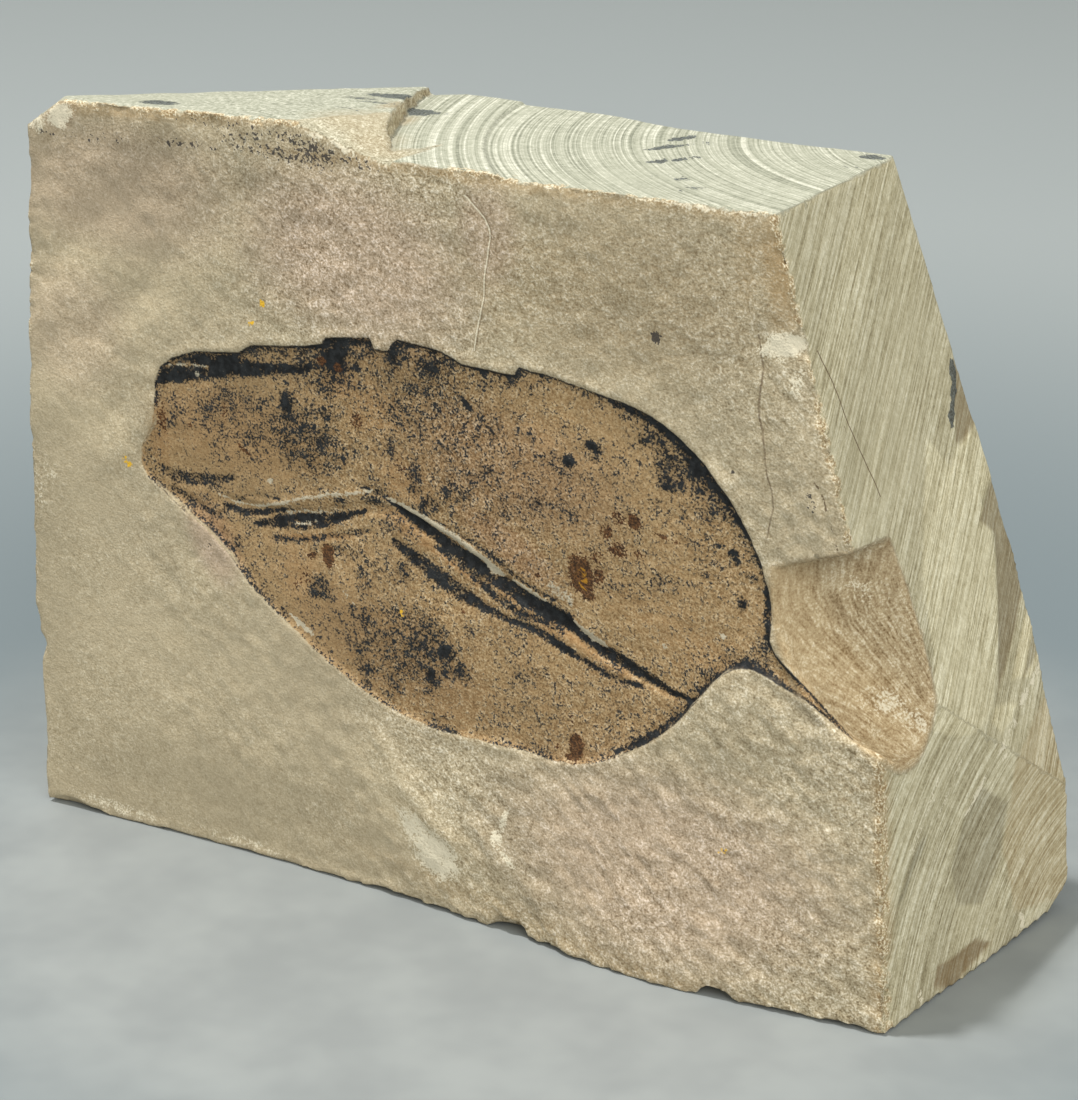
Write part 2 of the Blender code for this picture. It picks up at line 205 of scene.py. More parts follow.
# Black lines of the midrib: how dense the film is, then places on the front, each with a width
RIB_FILM = (
    (1, ((61.2, 46.8, 1.2), (65.2, 45.5, 1.5), (67.4, 44.3, 1.7), (72.6, 42.3, 1.9), (75, 41.4, 2.1),
         (77.7, 40.7, 1.9), (79.5, 39.4, 1), (81.9, 38.3, 1.3), (84.2, 37.5, 1.4), (86.9, 36.5, 1.3),
         (89.2, 35.9, 1.1), (91.3, 35, 0.7), (93.6, 34.7, 0.4), (95.6, 35, 0.3))),
    (1, ((53.7, 51.2, 0.5), (54.9, 50.3, 0.9), (57.3, 49.2, 1.2), (59.7, 47.9, 1.1), (62, 46.7, 1.2))),
    (0.9, ((54.2, 46.1, 0.8), (57.2, 44.5, 1.6), (60.3, 43, 1.8), (63.3, 41.5, 1.8), (66.7, 40.3, 1),
           (70.4, 39.3, 0.6), (73.5, 38.9, 0.8), (75.9, 37.9, 1), (78.3, 37, 0.8), (80.7, 36.1, 0.5),
           (83.4, 35.1, 0.6), (85.4, 34.9, 0.6), (87.8, 34.8, 0.35))),
    (0.75, ((60, 46.4, 0.5), (64.6, 44.2, 0.9), (67.4, 42.3, 0.9), (71, 40.6, 0.7), (74.4, 40, 0.5),
            (77.1, 39.2, 0.3))),
    (0.9, ((29.7, 46.2, 0.6), (32.1, 45.9, 0.8), (35.1, 46.2, 0.5), (37.8, 47, 0.35), (39.8, 47.2, 0.4))),
    (0.95, ((34.4, 44.7, 0.5), (37.8, 45.6, 1.5), (41.4, 46.3, 1.7), (44.4, 47, 1.6), (46.4, 47.6, 0.9),
            (48.3, 48.4, 0.5), (50, 49, 0.3))),
    (0.8, ((50.2, 51.8, 0.9), (51.8, 51.9, 0.6), (55.4, 51, 0.25), (59.2, 50, 0.25), (62.3, 48.9, 0.25),
           (66.1, 47.6, 0.25), (68.7, 46.3, 0.35), (71, 44.8, 0.3), (73.5, 43.8, 0.2),
           (76.4, 42.9, 0.2))),
    (0.62, ((36.4, 43.3, 0.6), (39.7, 43.5, 0.7), (44, 44.7, 0.6), (48.9, 46.2, 0.7), (50.9, 46.9, 0.4))),
    (0.72, ((20.6, 49.6, 0.8), (22.3, 48.8, 1.6), (25.1, 48.9, 1.4), (27.9, 49.3, 1.2), (30.9, 50, 0.6))),
    (0.6, ((22, 47.2, 0.8), (25, 46, 0.9), (28.4, 44.6, 0.7), (33, 48.2, 0.2), (38, 48.6, 0.2))),
)
# Pale slivers that stand between the black lines: the first five are raised
RAISED_SLIVERS = 5
RIB_SLIVERS = (
    (0.75, ((28.8, 47.5, 0.2), (31.1, 46.8, 0.3), (34.5, 47, 0.3), (37.9, 47.9, 0.3), (40.5, 49, 0.3),
            (44.2, 50.1, 0.3), (48.1, 51, 0.3), (51.3, 51.9, 0.2))),
    (0.85, ((53.4, 51.4, 0.3), (55.4, 50.9, 0.4), (57.6, 50, 0.6), (60.1, 49.1, 0.8), (62.9, 48, 0.9),
            (65.3, 46.9, 0.8))),
    (1, ((65.3, 46.9, 0.7), (66.8, 45.9, 0.8), (67.8, 45.1, 1.2), (68.9, 44.7, 0.5))),
    (0.8, ((70.4, 44.4, 0.2), (72, 43.8, 0.4), (73.5, 43.2, 0.5), (74.7, 42.7, 0.35))),
    (0.95, ((78.7, 40.9, 0.3), (79.5, 40.2, 0.7), (80.7, 39.4, 0.8), (82.5, 38.7, 0.6),
            (82.9, 38.5, 0.25))),
    (0.7, ((38.2, 46.7, 0.2), (40.5, 47.3, 0.25), (42.5, 47.6, 0.25), (45, 47.9, 0.2))),
    (0.6, ((40, 45.7, 0.2), (41.6, 46, 0.3), (43, 46.4, 0.2))),
    (0.6, ((22.1, 62.9, 0.2), (23.8, 63.3, 0.25), (25.8, 63.4, 0.25), (27.8, 63.5, 0.15))),
    (1, ((39.2, 34.1, 0.2), (40.5, 33.3, 0.45), (41.7, 32.6, 0.5), (42.7, 32.2, 0.2))),
    (0.5, ((47.1, 38.6, 0.2), (48, 37.9, 0.25), (48.9, 37, 0.2))),
)


def margin_line(torn, smooth):
    """The leaf's closed outline as a dense line of places on the front."""
    curve = bpy.data.curves.new("leaf_margin", "CURVE")
    curve.resolution_u = 3
    margin = curve.splines.new("BEZIER")
    margin.use_cyclic_u = True
    margin.bezier_points.add(len(torn) + len(smooth) - 1)
    handles = ["VECTOR"] * len(torn) + ["VECTOR" if x > STALK_START else "AUTO" for x, z in smooth]
    for knot, place, handle in zip(margin.bezier_points, torn + smooth, handles):
        knot.co = (place[0], place[1], 0.0)
        knot.handle_left_type = handle
        knot.handle_right_type = handle
    drawn = bpy.data.objects.new("leaf_margin", curve)
    bpy.context.scene.collection.objects.link(drawn)
    bpy.context.view_layer.update()
    mesh = drawn.to_mesh()
    line = [(vertex.co.x, vertex.co.y) for vertex in mesh.vertices]
    drawn.to_mesh_clear()
    bpy.data.objects.remove(drawn)
    return line + line[:1]


def line_distance(u, v, line):
    """Distance to a line, positive on its left and past its ends, how far along, and its width there."""
    nearest = np.full(len(u), 1e6)
    side = np.ones(len(u))
    reach = np.zeros(len(u))
    width = np.zeros(len(u))
    walked = 0.0
    for start, end in zip(line[:-1], line[1:]):
        along = (end[0] - start[0], end[1] - start[1])
        length = math.hypot(*along)
        if length < 1e-6:
            continue
        share = ((u - start[0]) * along[0] + (v - start[1]) * along[1]) / length**2
        beyond = (share < 0.0) | (share > 1.0)
        share = np.clip(share, 0.0, 1.0)
        gap = np.hypot(u - start[0] - share * along[0], v - start[1] - share * along[1])
        turn = along[0] * (v - start[1]) - along[1] * (u - start[0])
        closer = gap < nearest
        nearest = np.where(closer, gap, nearest)
        side = np.where(closer, np.where(beyond | (turn > 0.0), 1.0, -1.0), side)
        reach = np.where(closer, walked + share * length, reach)
        if len(start) > 2:
            width = np.where(closer, start[2] + share * (end[2] - start[2]), width)
        walked += length
    return nearest * side, reach, width


def inside_line(u, v, line):
    """Whether each place lies inside a closed line."""
    inside = np.zeros(len(u), bool)
    for start, end in zip(line[:-1], line[1:]):
        if start[1] == end[1]:
            continue
        crosses = (start[1] > v) != (end[1] > v)
        crossing = start[0] + (v - start[1]) / (end[1] - start[1]) * (end[0] - start[0])
        inside ^= crosses & (u < crossing)
    return inside


def depth_inside(u, v, line):
    """Distance in from a closed line, negative outside it."""
    gap = np.abs(line_distance(u, v, line)[0])
    return np.where(inside_line(u, v, line), gap, -gap)


LEAF_LINE = margin_line(TORN_MARGIN, SMOOTH_MARGIN)


# The cracks, ridges and facets: hairlines that cross the front, the flake scar beside the stalk, and
# the flats that the grinding wheel left on the right end, given there by depth and height.
STEP_CRACK = (
    (65.1, 89.7), (67.9, 86.2), (68.3, 85.4), (67.9, 81.9), (67.3, 77.5), (66.2, 75), (65.5, 71.4),
)
DARK_CRACK = ((101.2, 78.8), (101.9, 75.5), (102.2, 73.5), (102.7, 68.0), (103.3, 60.2), (103.8, 55.7))
LEDGE_CRACK = ((108.6, 63.4), (109.4, 61.4), (110.2, 58.7), (111.2, 55.6))
FOOT_RIDGES = (
    ((52.5, 20.5, 1.6), (54.7, 16.9, 1.8), (60.2, 12.3, 1.6), (63.3, 10.5, 1.2)),
    ((66.5, 13.0, 1.2), (70.4, 9.6, 1.6), (74.3, 6.9, 1.6), (76.6, 3.8, 1.4), (80.5, -0.4, 1.2)),
)
SCAR_SIDE = (
    (104.4, 57.4), (103.9, 54), (104.4, 47.5), (107, 42.8), (110.2, 39.4), (115.5, 34.6), (118.6, 32.4),
)
SCAR_LENGTH = 31.0
# Grinding lines of the right end, by depth and height: a slant above, arcs around a place below
GRIND_SLANT = (0.81, 0.59)
SWEEP_CENTRE = (46.4, -12.8)
SWEEP_RADIUS = 52.0
LOWER_END_TOP = 48.0
END_CRACK = ((2.4, 77.2), (4.4, 73.0), (5.7, 68.1), (7.5, 64.0), (9.4, 59.3))
END_LENS = (
    (35.2, 68.9), (36, 66.2), (33.8, 63.3), (30.5, 59.9), (31.1, 62), (33, 64.6), (35.2, 68.9),
)
# Flats of the right end: how much lighter or darker each is, as painted light and shade of the facet, how
# tan, and its corners
END_FLATS = (
    (0.3, 0, ((9.5, 33.4), (11.5, 32.1), (15.6, 30.2), (19, 29.4), (23, 29.5), (25.8, 30.8), (30.7, 36.2),
              (33.1, 41.1), (35, 45), (36, 50), (24, 62), (16, 50.4), (14.2, 46.9), (13.4, 40.9),
              (11.2, 37.3), (9.5, 33.4))),
    (-0.5, 0.5, ((27.8, 31.6), (30.5, 36), (33.4, 41.1), (35.3, 45), (37.1, 49.4), (41, 50), (42, 40.3),
                 (35.6, 35.7), (29.8, 32.6), (27.8, 31.6))),
    (0.42, 0.1, ((31.7, 31.4), (37, 34.9), (42.4, 38.4), (44.6, 34.4), (43.7, 31.5), (37.2, 29.9),
                 (31.7, 31.4))),
    (-0.32, 0.3, ((35, 30.6), (40, 34), (44.2, 36), (43.9, 33.4), (39, 31.2), (35, 30.6))),
    (-0.45, 0.6, ((31.4, 59.4), (36.4, 69), (38.6, 66), (38.4, 60.4), (33.5, 58.6), (31.4, 59.4))),
    (0.34, 0, ((24, 55), (30.9, 58.6), (39, 60.1), (38.9, 53.1), (31, 50.6), (24, 52), (24, 55))),
    (-0.42, 0.5, ((39.4, 53.4), (32.8, 49.9), (37, 47), (40.5, 45.4), (39.4, 53.4))),
    (-0.36, 0.1, ((21, 22.4), (16.8, 20), (14, 14.7), (15.2, 9.7), (20.8, 7.6), (25.2, 11.9),
                  (26.7, 18.4), (21, 22.4))),
    (0.05, 0.45, ((28.3, 22.9), (43, 28), (42.6, 15.6), (42.1, 7), (41.3, 0.9), (28.1, 3.7), (25.6, 12.9),
                  (28.3, 22.9))),
    (0.4, -0.1, ((24, 29.2), (25.6, 30.4), (29.6, 29.6), (31.9, 28.6), (29.4, 27.4), (25.9, 27),
                 (24, 29.2))),
    (-0.5, 1, ((9.7, 1.6), (10.8, 4), (14, 3.6), (19.3, 3.9), (22.9, 2), (17, 0.6), (13.5, -0.4),
               (9.7, 1.6))),
)
END_SCRATCHES = (
    (0.95, ((43.5, 31.2, 0.5), (38.1, 29.6, 0.4), (33, 28.2, 0.4), (25.6, 25.6, 0.3), (21, 22.8, 0.3),
            (16.8, 20, 0.2))),
    (1, ((26.1, 25.4, 0.25), (26, 24.4, 0.5), (26.3, 23.2, 0.3))),
    (0.9, ((6.4, 2.4, 0.3), (7.2, 1.4, 0.7), (8.4, 1.4, 0.4))),
    (0.8, ((29.9, 3.1, 0.6), (29.9, 1.3, 0.9))),
    (0.8, ((6.3, 31.5, 0.5), (7.6, 31.1, 0.3))),
    (0.6, ((22.8, 23.2, 0.2), (22.7, 22.6, 0.3))),
    (0.5, ((11.4, 26.6, 0.5), (5.8, 20.2, 0.4))),
    (0.5, ((16.9, 27.8, 0.5), (11.3, 22.1, 0.3))),
)
END_STREAK = ((9.5, 22.2, 0.2), (6.0, 18.4, 0.8), (2.3, 14.2, 0.3))


def end_directions(places, low_share):
    """Across and along the grinding lines of the right end: straight above, sweeping arcs below."""
    y, z = places[:, 1], places[:, 2]
    cosine, sine = GRIND_SLANT
    high = (cosine * z - sine * y, cosine * y + sine * z)
    middle_y, middle_z = SWEEP_CENTRE
    turned = np.arctan2(z - middle_z, middle_y - y)
    low = (np.hypot(y - middle_y, z - middle_z), SWEEP_RADIUS * turned)
    low_share = np.round(low_share)
    return tuple(first + (second - first) * low_share for first, second in zip(high, low))


def disc_reach(places):
    """Distance from the middle of the disc that cut each part of the top."""
    x, y = places[:, 0], places[:, 1]
    first, second = (np.hypot(x - disc_x, y - disc_y) for disc_x, disc_y, radius in DISC_CENTRES)
    return np.where(second < DISC_CENTRES[1][2], second, first)


def scar_directions(places):
    """Across and along the streaks of the flake scar, which close up towards its lower tip."""
    gap, reach, width = line_distance(places[:, 0], places[:, 2], SCAR_SIDE)
    return gap / (1.2 - 0.85 * reach / SCAR_LENGTH), reach


def flakiness(x, z):
    """How flaky the bed is: not at all in the upper left, fully in the lower right."""
    return ramp(x + 0.9 * (30.0 - z), 62.0, 92.0)


def flake_axes(places):
    """Places turned so that the flakes of the bed run along the last axis."""
    x, y, z = places.T
    return np.stack((0.80 * x - 0.60 * z, y, 0.60 * x + 0.80 * z), axis=1)


def tool_run(places, face):
    """Where every place lies along the marks of its tool: noise of size 1 there follows the marks."""
    x, y, z = places.T
    flaky = flakiness(x, z)[:, None]
    slant = flake_axes(places)
    run = slant * (1.0 - flaky) / np.array((0.5, 0.5, 0.42))
    run = run + slant * flaky / np.array((0.9, 0.5, 0.42))
    across, along = end_directions(places, face["right_low"])
    end = np.stack((across / 0.34, along / 13.0, x / 9.0), axis=1)
    rings = np.stack((disc_reach(places) / 0.3, (x + y) / 45.0, z / 9.0), axis=1)
    across, along = scar_directions(places)
    scar = np.stack((across / 0.42, along / 5.0, y / 30.0), axis=1)
    layers = places / np.array((2.6, 0.6, 2.6))
    for name, own in (("right", end), ("bite", rings), ("scar", scar), ("rough", layers)):
        run = np.where(face[name][:, None] > 0.5, own, run)
    return run


def edge_wear(places):
    """Closeness to the worn edges around the front, from 0 to 1."""
    x, y, z = places.T
    inward = np.clip(y, 0.0, None)
    right = np.maximum(plane_distance(places, RIGHT_UPPER), plane_distance(places, RIGHT_LOWER))
    crest = np.where(x > 62.0, BITE_FLOOR, 94.0 + 0.03 * (x - 10.0))
    top_edge = np.hypot(inward, z - crest)
    right_edge = np.hypot(inward, right)
    left_edge = np.hypot(inward, plane_distance(places, LEFT_END)) + 0.6
    back_edge = np.hypot(z - crest, right) + 0.9
    nearest = np.minimum(np.minimum(top_edge, right_edge), np.minimum(left_edge, back_edge))
    return 1.0 - ramp(nearest + 0.5 * lumps(places, 2.2, 33), 0.2, 1.9)


def front_relief(places):
    """Bedding grain, cracks and the leaf's own relief on the split front."""
    x, y, z = places.T
    depth = depth_inside(x, z, LEAF_LINE)
    leaf = ramp(depth, -0.15, 0.15)
    coarse = flakiness(x, z) * (1.0 - leaf)
    smooth = ramp(34.0 - x - 0.25 * z, 0.0, 14.0) * (1.0 - ramp(z, 52.0, 66.0))
    bumps = 0.06 * lumps(places, 0.8, 1) + 0.11 * lumps(places, 1.7, 2) + 0.11 * lumps(places, 4.3, 3)
    height = bumps * (1.0 + 0.6 * coarse - 0.55 * smooth - 0.3 * leaf)
    flakes = flake_axes(places)
    height += 0.17 * coarse * np.maximum(lumps(flakes, (4.2, 3.0, 1.3), 4), -0.2)
    height += 0.12 * coarse * lumps(flakes, (1.9, 2.0, 0.9), 6)
    swell = np.sin((0.78 * z - 0.62 * x) / 1.5 + 0.6 * lumps(places, 9.0, 7))
    height += 0.12 * swell * ramp(46.0 - x, 0.0, 18.0) * ramp(z, 40.0, 56.0) * (1.0 - leaf)
    hairlines = ((STEP_CRACK, 0.14, 0.35), (DARK_CRACK, 0.10, 0.3), (LEDGE_CRACK, 0.10, 0.3))
    for crack, cut, spread in hairlines:
        height -= cut * bell(line_distance(x, z, crack)[0], spread)
    for ridge in FOOT_RIDGES:
        gap, reach, width = line_distance(x, z, ridge)
        height += 0.3 * bell(gap, np.maximum(width, 0.2) * 0.6)
    for density, line in RIB_FILM:
        gap, reach, width = line_distance(x, z, line)
        height -= 0.16 * density * leaf * bell(gap, np.maximum(width, 0.4) * 0.5)
    for density, line in RIB_SLIVERS[:RAISED_SLIVERS]:
        gap, reach, width = line_distance(x, z, line)
        height += 0.14 * density * leaf * bell(gap, np.maximum(width, 0.5) * 0.5)
    lip = bell(depth + 0.45, 0.4) * ramp(z, 50.0, 64.0)
    return height + 0.16 * lip * (0.6 + 0.4 * lumps(places, 1.8, 5)) - 0.05 * leaf


def tooled_relief(places, face):
    """Grinding lines on the right end, disc lines on the top, and the rough breaks elsewhere."""
    x, y, z = places.T
    across, along = end_directions(places, face["right_low"])
    grinding = np.stack((across, along, x), axis=1)
    fine_lines = 0.03 * lumps(grinding, (0.8, 16.0, 40.0), 11)
    broad_lines = 0.05 * lumps(grinding, (2.1, 24.0, 40.0), 12)
    height = face["right"] * (fine_lines + broad_lines)
    height += face["right_low"] * 0.06 * lumps(grinding, (3.1, 26.0, 40.0), 10)
    for lighter, tan, corners in END_FLATS:
        height += face["right"] * 0.22 * lighter * ramp(depth_inside(y, z, corners), -0.3, 0.5)
    rings = np.stack((disc_reach(places), 0.2 * x, 0.2 * y), axis=1)
    fine_rings = 0.03 * lumps(rings, (0.9, 30.0, 30.0), 13)
    broad_rings = 0.025 * lumps(rings, (2.3, 30.0, 30.0), 14)
    height += face["bite"] * (fine_rings + broad_rings)
    height += (face["top"] - face["bite"]) * 0.07 * lumps(places, (3.0, 3.0, 3.0), 15)
    layers = places * np.array((0.35, 1.6, 0.35))
    hewn = 0.14 * lumps(places, 1.6, 16) + 0.26 * lumps(places, 3.6, 17)
    height += face["rough"] * (hewn + 0.18 * lumps(layers, 1.7, 18))
    splinters = np.stack((0.9 * x + 0.4 * y, 0.9 * y - 0.4 * x, z), axis=1)
    height += face["break"] * (0.16 * lumps(splinters, (1.0, 3.5, 2.0), 19) + 0.16 * lumps(places, 2.4, 20))
    across, along = scar_directions(places)
    streaks = np.stack((across, along, 0.1 * y), axis=1)
    streaky = 0.07 * lumps(streaks, (0.9, 7.0, 3.0), 21) + 0.05 * lumps(places, 1.5, 22)
    return height + face["scar"] * streaky


def lift_foot(places):
    """Raise the worn lower edge a little off the table."""
    x, y, z = places.T
    right = -plane_distance(places, RIGHT_LOWER)
    left = -plane_distance(places, LEFT_END)
    inward = np.minimum(np.minimum(np.clip(y, 0.0, None), right), left + 0.4)
    ragged = 0.55 + 0.45 * lumps(places, (3.4, 9.0, 9.0), 34) + 0.25 * lumps(places, (1.3, 9.0, 9.0), 35)
    lift = FOOT_LIFT * np.clip(ragged, 0.1, 1.3) * (1.0 - ramp(inward, 0.3, 2.6))
    places[:, 2] = z + lift * (1.0 - ramp(z, 0.0, 2.4))


def carve(made):
    """Move every vertex of the skin along its normal by the relief at that place."""
    places, normals = read_places(made.data)
    face = faces_of_block(places, normals)
    height = face["front"] * front_relief(places) + tooled_relief(places, face)
    chips = np.clip(lumps(places, 1.3, 31) + 0.6 * lumps(places, 0.7, 32) - 0.1, -0.3, 1.2)
    height -= edge_wear(places) * (1.0 - face["scar"]) * (0.1 + 0.28 * chips)
    height *= 1.0 - 0.95 * face["base"]
    low = places[:, 2] < 0.5
    places += normals * height[:, None]
    places[:, 2] = np.where(low, np.maximum(places[:, 2], 0.0), places[:, 2])
    lift_foot(places)
    write_places(made.data, places)


def thin_out(made, triangles):
    """Join the faces that the shape and its marks need least, down to a number of triangles."""
    places, normals = read_places(made.data)
    face = faces_of_block(places, normals)
    depth = depth_inside(places[:, 0], places[:, 2], LEAF_LINE)
    dressed = np.maximum(face["right"], face["scar"])
    marked = np.maximum(np.maximum(face["front"], face["top"]), dressed) > 0.4
    leaf = (face["front"] > 0.5) & (depth > -0.8)
    group = made.vertex_groups.new(name="to_thin_out")
    group.add(np.flatnonzero(~marked).tolist(), 1.0, "REPLACE")
    group.add(np.flatnonzero(marked & ~leaf).tolist(), MARKED_THINNING, "REPLACE")
    group.add(np.flatnonzero(leaf).tolist(), LEAF_THINNING, "REPLACE")
    count = sum(len(polygon.vertices) - 2 for polygon in made.data.polygons)
    thinner = made.modifiers.new("thinner", "DECIMATE")
    thinner.ratio = triangles / count
    thinner.vertex_group = group.name
    thinner.vertex_group_factor = THINNING_PULL
    bake_modifiers(made)


carve(plate)
thin_out(plate, TRIANGLES)
for polygon in plate.data.polygons:
    polygon.use_smooth = True


# The marks: carbon film, rust, stains and pale crumbs that lie on the stone or in it and only colour
# its surface, and some painted light and shade: the ripple bands of the front, the flats of the right
# end, the scar's lit side and the shadow under its ledge, and a shadow on the top. A patch is given as
# two places on its face, its two half sizes, a turn in degrees, and how dense the mark is.
CARBON_PATCHES = (
    (47.9, 68.6, 2.3, 1.6, -35, 0.92), (49.6, 67.1, 1, 1.2, 0, 0.8), (51.7, 68.9, 1.7, 1.4, 0, 0.7),
    (56.1, 69, 2.9, 1.7, 10, 0.66), (60.4, 68.6, 3.9, 1.7, 10, 0.6), (57.9, 66.8, 2.9, 1.4, 20, 0.42),
    (62.5, 66.5, 3.2, 1.6, 20, 0.4), (64.8, 64.8, 1.5, 0.4, -50, 0.9), (39.7, 61, 1.3, 1.6, 0, 0.85),
    (40.2, 59.1, 1.5, 1.2, 0, 0.66), (44.8, 60.1, 0.9, 1.5, 0, 0.75), (42.2, 58.3, 1.9, 1, 10, 0.62),
    (44.4, 57, 1.1, 1, 0, 0.7), (40.7, 54.7, 1.5, 1.1, 0, 0.55), (42, 53.6, 1.5, 0.8, 0, 0.7),
    (35.7, 60.4, 0.4, 1.3, -20, 0.45), (34.6, 58.5, 1.4, 1.2, 0, 0.38), (34.2, 55.9, 0.9, 0.8, 0, 0.38),
    (47.6, 55.3, 0.7, 1.3, 0, 0.42), (57.4, 54.7, 1.2, 2.9, 0, 0.58), (59.2, 51.4, 1.5, 1.6, 0, 0.58),
    (62, 54.4, 1.1, 2.2, 0, 0.58), (54, 57.8, 0.9, 1.6, 0, 0.42), (45.5, 63, 1, 1.3, 0, 0.34),
    (46.2, 65.1, 0.45, 0.45, 0, 0.7), (52.6, 65.6, 0.45, 0.45, 0, 0.85), (30.4, 60.6, 2.6, 1.5, 0, 0.5),
    (22.8, 57.5, 1.9, 2.9, 0, 0.3), (24.4, 55.7, 0.8, 0.6, 0, 0.4), (30.3, 57.8, 2.9, 1.9, 0, 0.3),
    (99, 53, 0.8, 0.8, 0, 0.85), (99.4, 52.1, 0.5, 0.5, 0, 0.8), (100.2, 47.4, 0.6, 0.9, 0, 0.85),
    (97.3, 53.8, 0.5, 0.4, 0, 0.6), (80.9, 62.6, 0.9, 0.6, 0, 0.95), (81.8, 62.2, 0.7, 0.6, 0, 0.7),
    (81.6, 61, 0.5, 0.6, 0, 0.5), (78.2, 60.3, 0.9, 0.8, 0, 0.95), (77.3, 58.7, 0.6, 0.4, 0, 0.4),
    (74, 54.7, 0.7, 0.6, 0, 0.8), (72.9, 54.1, 0.5, 0.4, 0, 0.5), (69, 63.8, 0.5, 0.4, 0, 0.8),
    (78.9, 53.6, 0.9, 0.9, 0, 0.45), (65.3, 56.6, 2.6, 2, 0, 0.36), (69.1, 53.2, 2.3, 2, 0, 0.36),
    (63.3, 54, 2.6, 2, 0, 0.42), (89.1, 57.4, 0.8, 0.5, 0, 0.5), (90.7, 59.7, 1.5, 1.1, 0, 0.6),
    (87.7, 64.2, 1.1, 0.9, 0, 0.66), (90.6, 48, 2.3, 1.6, 0, 0.24), (92.9, 56.4, 0.7, 0.5, 0, 0.35),
    (73.3, 68.2, 0.4, 1.5, 0, 0.5), (66.6, 67.5, 2, 1, -10, 0.46), (70.7, 68, 1.6, 0.6, -5, 0.45),
    (91.3, 61.6, 2.6, 2, -45, 0.66), (94.9, 60.9, 3, 1.6, -45, 0.72), (96.7, 59.5, 2, 1.4, -45, 0.66),
    (89.5, 63.8, 3, 1.2, -45, 0.55), (93.1, 63.6, 3.6, 1.3, -50, 0.78), (95.4, 49.9, 0.5, 0.4, 0, 0.45),
    (102.7, 51.8, 0.5, 0.8, 0, 0.4), (101.3, 50.7, 1, 0.8, 0, 0.34), (95.5, 57.9, 3, 1.6, -30, 0.34),
    (98.2, 57.3, 1.3, 1, 0, 0.42), (43.5, 38.2, 1.9, 1.6, 0, 0.55), (47.8, 43.8, 2.8, 1.5, 0, 0.38),
    (50.3, 40.9, 1.9, 2.5, 0, 0.38), (55.3, 42.4, 1.6, 1.9, 0, 0.46), (61.7, 33.7, 1.6, 1.2, 0, 0.92),
    (59.8, 30.2, 1.4, 1.3, 0, 0.86), (64.1, 31.7, 1.6, 1.5, 0, 0.66), (56.4, 34.6, 1.6, 1.9, 0, 0.48),
    (50, 29.5, 1.9, 1.5, 0, 0.48), (50.3, 27.3, 1.3, 0.6, -20, 0.7), (53.8, 28.3, 1.9, 1.5, 0, 0.4),
    (58.8, 28.3, 1.3, 0.6, 0, 0.5), (57, 31.9, 6.3, 3.8, 0, 0.3), (63, 36.7, 0.8, 0.8, 0, 0.5),
    (38.2, 34.3, 0.9, 0.5, -35, 0.66), (31.4, 41.9, 0.8, 1.3, 0, 0.4), (60.1, 32.2, 1.9, 2.5, 0, 0.5),
    (71.3, 32.2, 1.2, 1.6, 0, 0.32), (89.9, 47.8, 1.6, 1.9, 0, 0.3), (64.8, 36.8, 0.6, 0.9, 0, 0.5),
    (33, 58, 9, 4, 0, 0.38), (55, 34, 9, 5, 0, 0.48), (43, 57, 6, 5, 0, 0.48), (47.5, 67.4, 4, 2, 0, 0.8),
    (44, 65.6, 9, 3, 0, 0.4), (60, 63, 12, 5, -15, 0.36), (70, 58, 12, 7, -10, 0.27),
    (24, 44.6, 4, 2, -35, 0.3), (46.6, 49.8, 1, 0.6, 0, 0.7), (51, 50.6, 1.5, 0.8, 0, 0.55),
)
# Thick film in the upper left, and patches that follow the margin
CARBON_BANDS = (
    (1, ((20.9, 60.8, 0.9), (22.4, 62, 2.2), (25.5, 63.1, 3), (28.9, 63.8, 2.9), (32.2, 64.5, 2.5),
         (34.5, 64.3, 1.7), (37.2, 64.7, 1.2), (40.5, 65.2, 0.9), (42.9, 65.8, 1))),
    (0.6, ((35, 67, 0.9), (37.3, 67.2, 0.7), (40.2, 67.5, 0.7), (42.8, 67.8, 0.8), (45.4, 68.5, 0.9))),
    (0.9, ((46, 69.3, 0.8), (51.7, 70.2, 0.8))),
    (0.8, ((54.8, 70, 0.6), (57, 70.8, 0.7), (61, 70.4, 0.7))),
    (0.96, ((83.5, 68, 0.4), (86.5, 67.4, 0.8), (89.4, 66.4, 1.2), (92.5, 64.6, 1.5), (95.5, 62, 1.5),
            (98, 59.4, 1.4), (99.8, 57, 1), (101.3, 54.9, 0.7), (102.2, 53.4, 0.3))),
    (0.9, ((103, 51.4, 0.5), (103.4, 49.2, 0.9), (103.5, 46.6, 0.9), (103.6, 44.4, 0.6))),
    (0.92, ((84.6, 26.3, 0.3), (87.6, 28, 0.8), (90.5, 30.2, 1), (93.2, 32.8, 0.9), (94.8, 34.6, 0.8))),
    (0.9, ((95.4, 35.9, 0.6), (97, 37.7, 0.9), (98.2, 38.7, 0.5))),
)
# The level at which the dust noise covers each share of the leaf
FILM_SHARES = (0.0, 0.05, 0.15, 0.3, 0.5, 0.7, 0.85, 0.95, 1.0)
FILM_LEVELS = (0.0, 0.17, 0.29, 0.39, 0.50, 0.61, 0.72, 0.86, 1.12)
